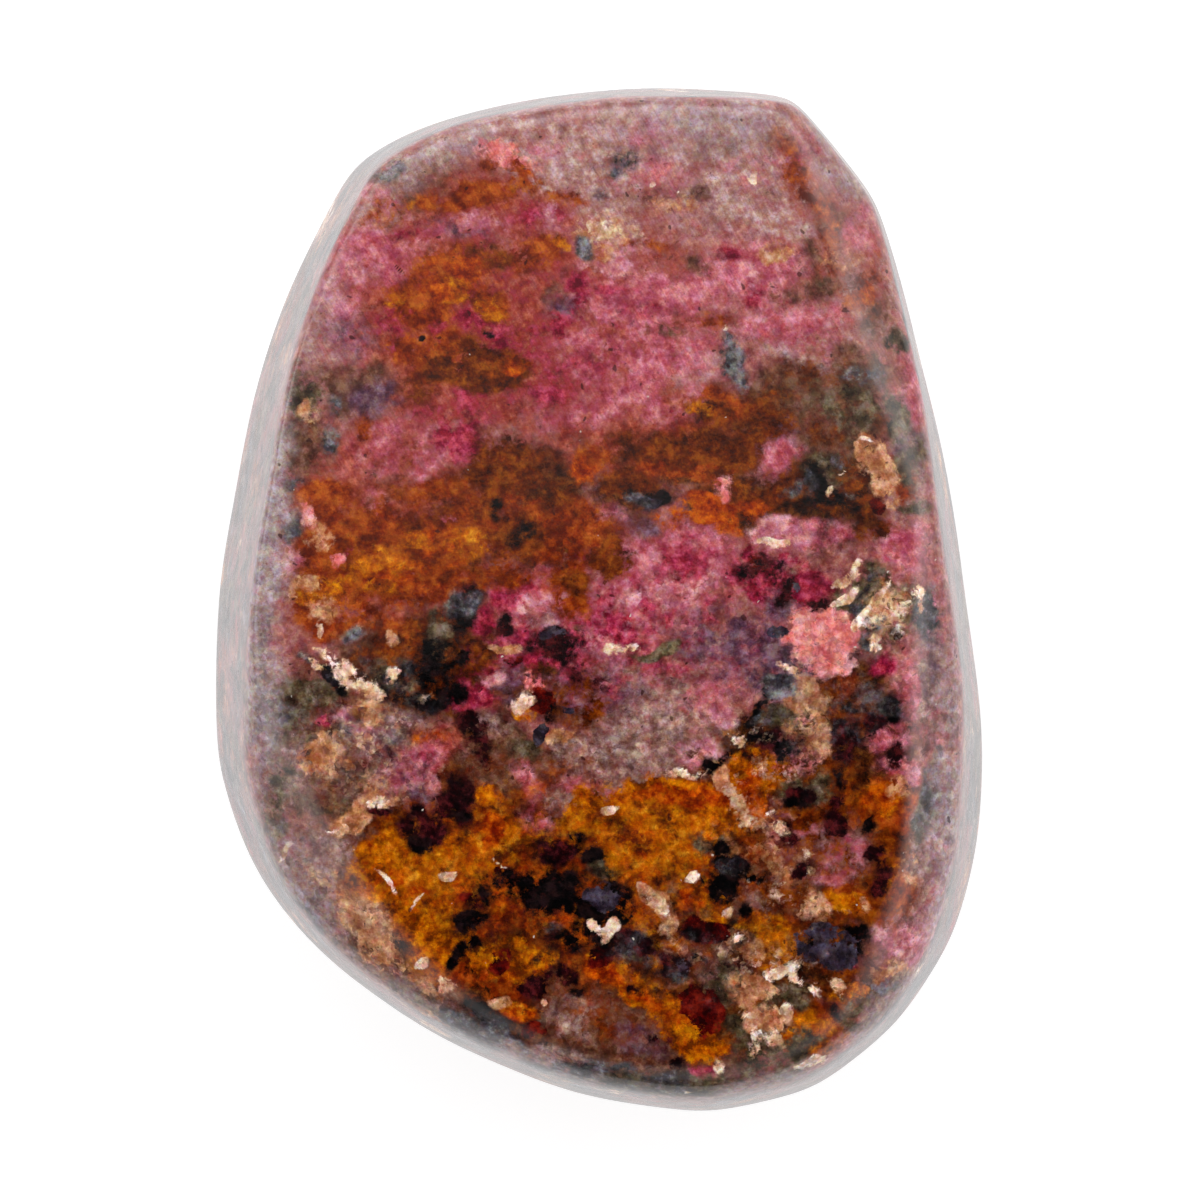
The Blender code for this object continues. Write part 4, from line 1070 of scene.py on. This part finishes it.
@dataclass(frozen=True)
class Stone:
    """The stone: its skin on a fine grid, with a weight for every mineral at every point."""

    name: str = "rhodonite"
    node: str = "stone"
    body: str = "root"
    slot: str = "polished_rhodonite"
    columns: int = 192
    rows: int = 256
    wall_rings: int = 36
    back_rings: int = 8
    wave_height: float = 0.04
    wave_size: float = 9.0
    wave_rise: tuple[float, float] = (-6, 4)
    wave_seed: int = 3
    flat_within: float = 0.03
    depth_fade: tuple[float, float] = (12, 5)
    patch_fade: tuple[float, float] = (1.75, 0.25)
    bends: tuple[tuple[float, float, int], ...] = ((3.5, 0.35, 11), (1.3, 0.2, 13))
    flank_lean: tuple[float, float] = (55, 80)
    wall_lean: tuple[float, float] = (68, 80)
    wall_share: float = 0.85
    wild_size: float = 5.5
    wild_swing: float = 0.32
    wild_seed: int = 20
    shape: GroundSkin = field(default_factory=GroundSkin)
    finish: PolishedRock = field(default_factory=PolishedRock)

    def guide_points(self, half_width: float, half_length: float) -> Array:
        """Points on a drum around the stone: its lid as a grid, then rings down its wall and back.

        A square grid (s, t) becomes a disc as (s sqrt(1 - t^2/2), t sqrt(1 - s^2/2)). The disc's rim
        then goes down the drum in rings and in over its bottom, to one last point in the middle.

        Args:
            half_width: Half the drum's width.
            half_length: Half its length.

        Returns:
            The points, seen from the core.
        """
        s, t = np.meshgrid(
            np.linspace(-1, 1, self.columns + 1), np.linspace(-1, 1, self.rows + 1), indexing="ij"
        )
        disc = np.stack((s * np.sqrt(1 - t * t / 2), t * np.sqrt(1 - s * s / 2)), -1).reshape(-1, 2)
        lid = np.column_stack((disc, np.full(len(disc), self.shape.table_height)))
        rim = disc[self.rim_indices()]
        top, low = self.shape.table_height, -self.shape.core_height
        heights = top + (low - top) * np.arange(1, self.wall_rings + 1) / self.wall_rings
        wall = np.concatenate([np.column_stack((rim, np.full(len(rim), z))) for z in heights])
        inward = 1 - np.arange(1, self.back_rings) / self.back_rings
        back = np.concatenate([np.column_stack((rim * k, np.full(len(rim), low))) for k in inward])
        points = np.concatenate((lid, wall, back, ((0, 0, low),)))
        return points * (half_width, half_length, 1)

    def rim_indices(self) -> Array:
        """The numbers of the lid's outermost points, anticlockwise from its lower left corner."""
        number = np.arange((self.columns + 1) * (self.rows + 1)).reshape(self.columns + 1, -1)
        return np.concatenate(
            (number[:-1, 0], number[-1, :-1], number[:0:-1, -1], number[0, :0:-1])
        )

    def faces(self) -> tuple[Array, Array]:
        """The lid's and rings' squares, and the triangles around the last point."""
        number = np.arange((self.columns + 1) * (self.rows + 1)).reshape(self.columns + 1, -1)
        lid = np.stack((number[:-1, :-1], number[1:, :-1], number[1:, 1:], number[:-1, 1:]), -1)
        rim = self.rim_indices()
        rings = self.wall_rings + self.back_rings - 1
        loops = np.arange(rings * len(rim)).reshape(rings, -1) + number.size
        loops = np.concatenate((rim[None], loops))
        turned = np.roll(loops, -1, axis=1)
        sides = np.stack((loops[:-1], loops[1:], turned[1:], turned[:-1]), -1)
        last = np.full(len(rim), loops[-1].max() + 1)
        fan = np.stack((loops[-1], last, turned[-1]), -1)
        return np.concatenate((lid.reshape(-1, 4), sides.reshape(-1, 4))), fan

    def skin_points(self) -> Array:
        """Every point of the stone in millimetres, in the frame: the guide's points drawn in to the
        ground skin, with the faint waves that hand polishing leaves, brought to the solid's box."""
        low, high = (np.array(corner) / MM_TO_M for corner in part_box(self.node))
        half_width, half_length = (high - low)[:2] / 2
        guide = self.guide_points(half_width, half_length)
        directions = guide / np.linalg.norm(guide, axis=1)[:, None]
        points = directions * self.shape.reach(directions)[:, None]
        waves = drift(points, self.wave_size, self.wave_seed) * smooth_step(*self.wave_rise, points[:, 2])
        points += directions * (waves * self.wave_height)[:, None]
        floor = -self.shape.core_height
        points[:, 2] = np.where(points[:, 2] < floor + self.flat_within, floor, points[:, 2])
        least, most = points.min(axis=0), points.max(axis=0)
        return low + (points - least) * (high - low) / (most - least)

    def weights(self, points: Array, slope: Array) -> dict[str, Array]:
        """How much of each mineral there is at each point.

        A patch weighs its own weight out to about its edge and fades to nothing beyond it, and the
        heaviest patch counts. Patches are lenses, so they thin out with depth below the best face,
        and there each mineral wanders through the rock instead.

        Args:
            points: Places on the stone, in millimetres.
            slope: How far the skin faces up at each, as its normal's height.

        Returns:
            A weight for each point, by mineral, and "flank", which is 1 where the skin is steep.
        """
        flat = points[:, :2].copy()
        for size, bend, seed in self.bends:
            flat += np.column_stack([drift(points, size, seed + axis) for axis in range(2)]) * bend
        depth = points[:, 2].max() - points[:, 2]
        near = smooth_step(*self.depth_fade, depth)
        near *= 1 - self.wall_share * smooth_step(*np.cos(np.radians(self.wall_lean)), slope)
        flank = smooth_step(*np.cos(np.radians(self.flank_lean)), slope)
        found = {}
        for seed, mineral in enumerate(Mineral, self.wild_seed):
            laid = np.zeros(len(points))
            for patch in PATCHES[mineral]:
                turn = math.radians(patch.turn)
                across = flat - (patch.x, patch.y)
                along = across @ (math.cos(turn), math.sin(turn)) / patch.long
                aside = across @ (-math.sin(turn), math.cos(turn)) / patch.wide
                away = np.hypot(along, aside)
                laid = np.maximum(laid, patch.weight * smooth_step(*self.patch_fade, away))
            wild = LOOKS[mineral].wild + self.wild_swing * drift(points, self.wild_size, seed)
            wild = np.where(LOOKS[mineral].wild > 0, np.clip(wild, 0, 1), 0)
            found[mineral.value] = laid * near + wild * (1 - near)
        return found | {"flank": flank}

    def build(self) -> bpy.types.Object:
        """The stone's object, its mesh in the frame and its weights on its points."""
        points = self.skin_points()
        squares, fan = self.faces()
        mesh = bpy.data.meshes.new(self.name)
        mesh.vertices.add(len(points))
        mesh.vertices.foreach_set("co", (points * MM_TO_M).astype(np.float32).ravel())
        corners = np.concatenate((squares.ravel(), fan.ravel()))
        starts = np.concatenate((np.arange(len(squares)) * 4, squares.size + np.arange(len(fan)) * 3))
        mesh.loops.add(len(corners))
        mesh.loops.foreach_set("vertex_index", corners.astype(np.int32))
        mesh.polygons.add(len(starts))
        mesh.polygons.foreach_set("loop_start", starts.astype(np.int32))
        mesh.update(calc_edges=True)
        mesh.validate()
        mesh.shade_smooth()
        facing = np.empty(len(points) * 3, dtype=np.float32)
        mesh.vertices.foreach_get("normal", facing)
        for name, weight in self.weights(points, facing[2::3]).items():
            layer = mesh.attributes.new(name, "FLOAT", "POINT")
            layer.data.foreach_set("value", weight.astype(np.float32))
        made = bpy.data.objects.new(self.name, mesh)
        bpy.context.scene.collection.objects.link(made)
        return made

    def dress(self, made: bpy.types.Object) -> None:
        """Gives the stone its finish and its place in the frame."""
        made.data.materials.append(self.finish.material())
        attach(made, self.body)
        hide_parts(self.node)


@dataclass(frozen=True)
class Studio:
    """A pale table that gives off some light, a surround with a bright ring halfway up, and a camera
    straight above."""

    floor_size: float = 3.0
    floor_colour: Colour = (190, 190, 190)
    floor_glow: float = 0.74
    ring_light: float = 2.42
    low_light: float = 0.45
    foot_share: float = 0.25
    sheen: float = 0.35
    far_rise: tuple[float, float] = (-0.8, 0.1)
    ring_rise: tuple[float, float] = (0.35, 0.55)
    overhead_rise: tuple[float, float] = (0.62, 0.92)
    sheen_rise: tuple[float, float] = (-0.01, 0.16)
    camera_height: float = 1.5
    girth_height: float = 0.011
    frame_width: float = 0.07522
    aim: tuple[float, float] = (0.00006, -0.00003)
    sensor: float = 36.0

    def floor(self) -> bpy.types.Object:
        """The table top, a plain square at the height of the stone's back."""
        half = self.floor_size / 2
        mesh = bpy.data.meshes.new("floor")
        corners = [(-half, -half, 0), (half, -half, 0), (half, half, 0), (-half, half, 0)]
        mesh.from_pydata(corners, [], [(0, 1, 2, 3)])
        material = bpy.data.materials.new("pale_table")
        material.use_nodes = True
        graph = Graph(material.node_tree)
        shader = graph.node(
            "ShaderNodeBsdfPrincipled",
            None,
            {
                "Base Color": linear(self.floor_colour),
                "Roughness": 0.7,
                "Specular IOR Level": 0.2,
                "Emission Color": (1, 1, 1, 1),
                "Emission Strength": self.floor_glow,
            },
        )
        graph.node("ShaderNodeOutputMaterial", None, {"Surface": shader})
        mesh.materials.append(material)
        made = bpy.data.objects.new("floor", mesh)
        bpy.context.scene.collection.objects.link(made)
        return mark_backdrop(made)

    def surround(self) -> None:
        """The world: a bright ring halfway up, dimmer at the foot, and dark overhead but for a soft
        sheen towards the narrow end."""
        world = bpy.data.worlds.new("studio")
        world.use_nodes = True
        graph = Graph(world.node_tree)
        heading = graph.node("ShaderNodeTexCoord", None, None, "Generated")
        across, height = (
            graph.node("ShaderNodeSeparateXYZ", None, {0: heading}, axis) for axis in (1, 2)
        )
        far = self.foot_share + (1 - self.foot_share) * graph.step(across, *self.far_rise)
        rise = graph.step(height, *self.ring_rise)
        ring = self.low_light + (self.ring_light - self.low_light) * rise
        overhead = graph.step(height, *self.overhead_rise)
        sheen = graph.step(across, *self.sheen_rise) * self.sheen
        strength = far * ring * (1 - overhead) + overhead * sheen
        light = graph.node("ShaderNodeBackground", None, {"Color": (1, 1, 1, 1), "Strength": strength})
        graph.node("ShaderNodeOutputWorld", None, {"Surface": light})
        bpy.context.scene.world = world

    def camera(self) -> None:
        """A long lens straight above the stone, framed at the height of its widest outline."""
        lens = bpy.data.cameras.new("camera")
        lens.sensor_width = self.sensor
        lens.lens = self.sensor * (self.camera_height - self.girth_height) / self.frame_width
        lens.clip_end = 10
        made = bpy.data.objects.new("camera", lens)
        made.location = (*self.aim, self.camera_height)
        bpy.context.scene.collection.objects.link(made)
        bpy.context.scene.camera = made

    def build(self) -> None:
        """Sets up the table, the light and the camera."""
        self.floor()
        self.surround()
        self.camera()
        settings = bpy.context.scene.view_settings
        settings.view_transform = "Standard"
        settings.look = "None"


def main() -> None:
    """Builds the stone and the studio."""
    logging.basicConfig(level=logging.INFO, format="%(message)s")
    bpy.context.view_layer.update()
    stone = Stone()
    made = stone.build()
    stone.dress(made)
    LOG.info("%s: %d faces", made.name, len(made.data.polygons))
    Studio().build()


if __name__ == "__main__":
    main()
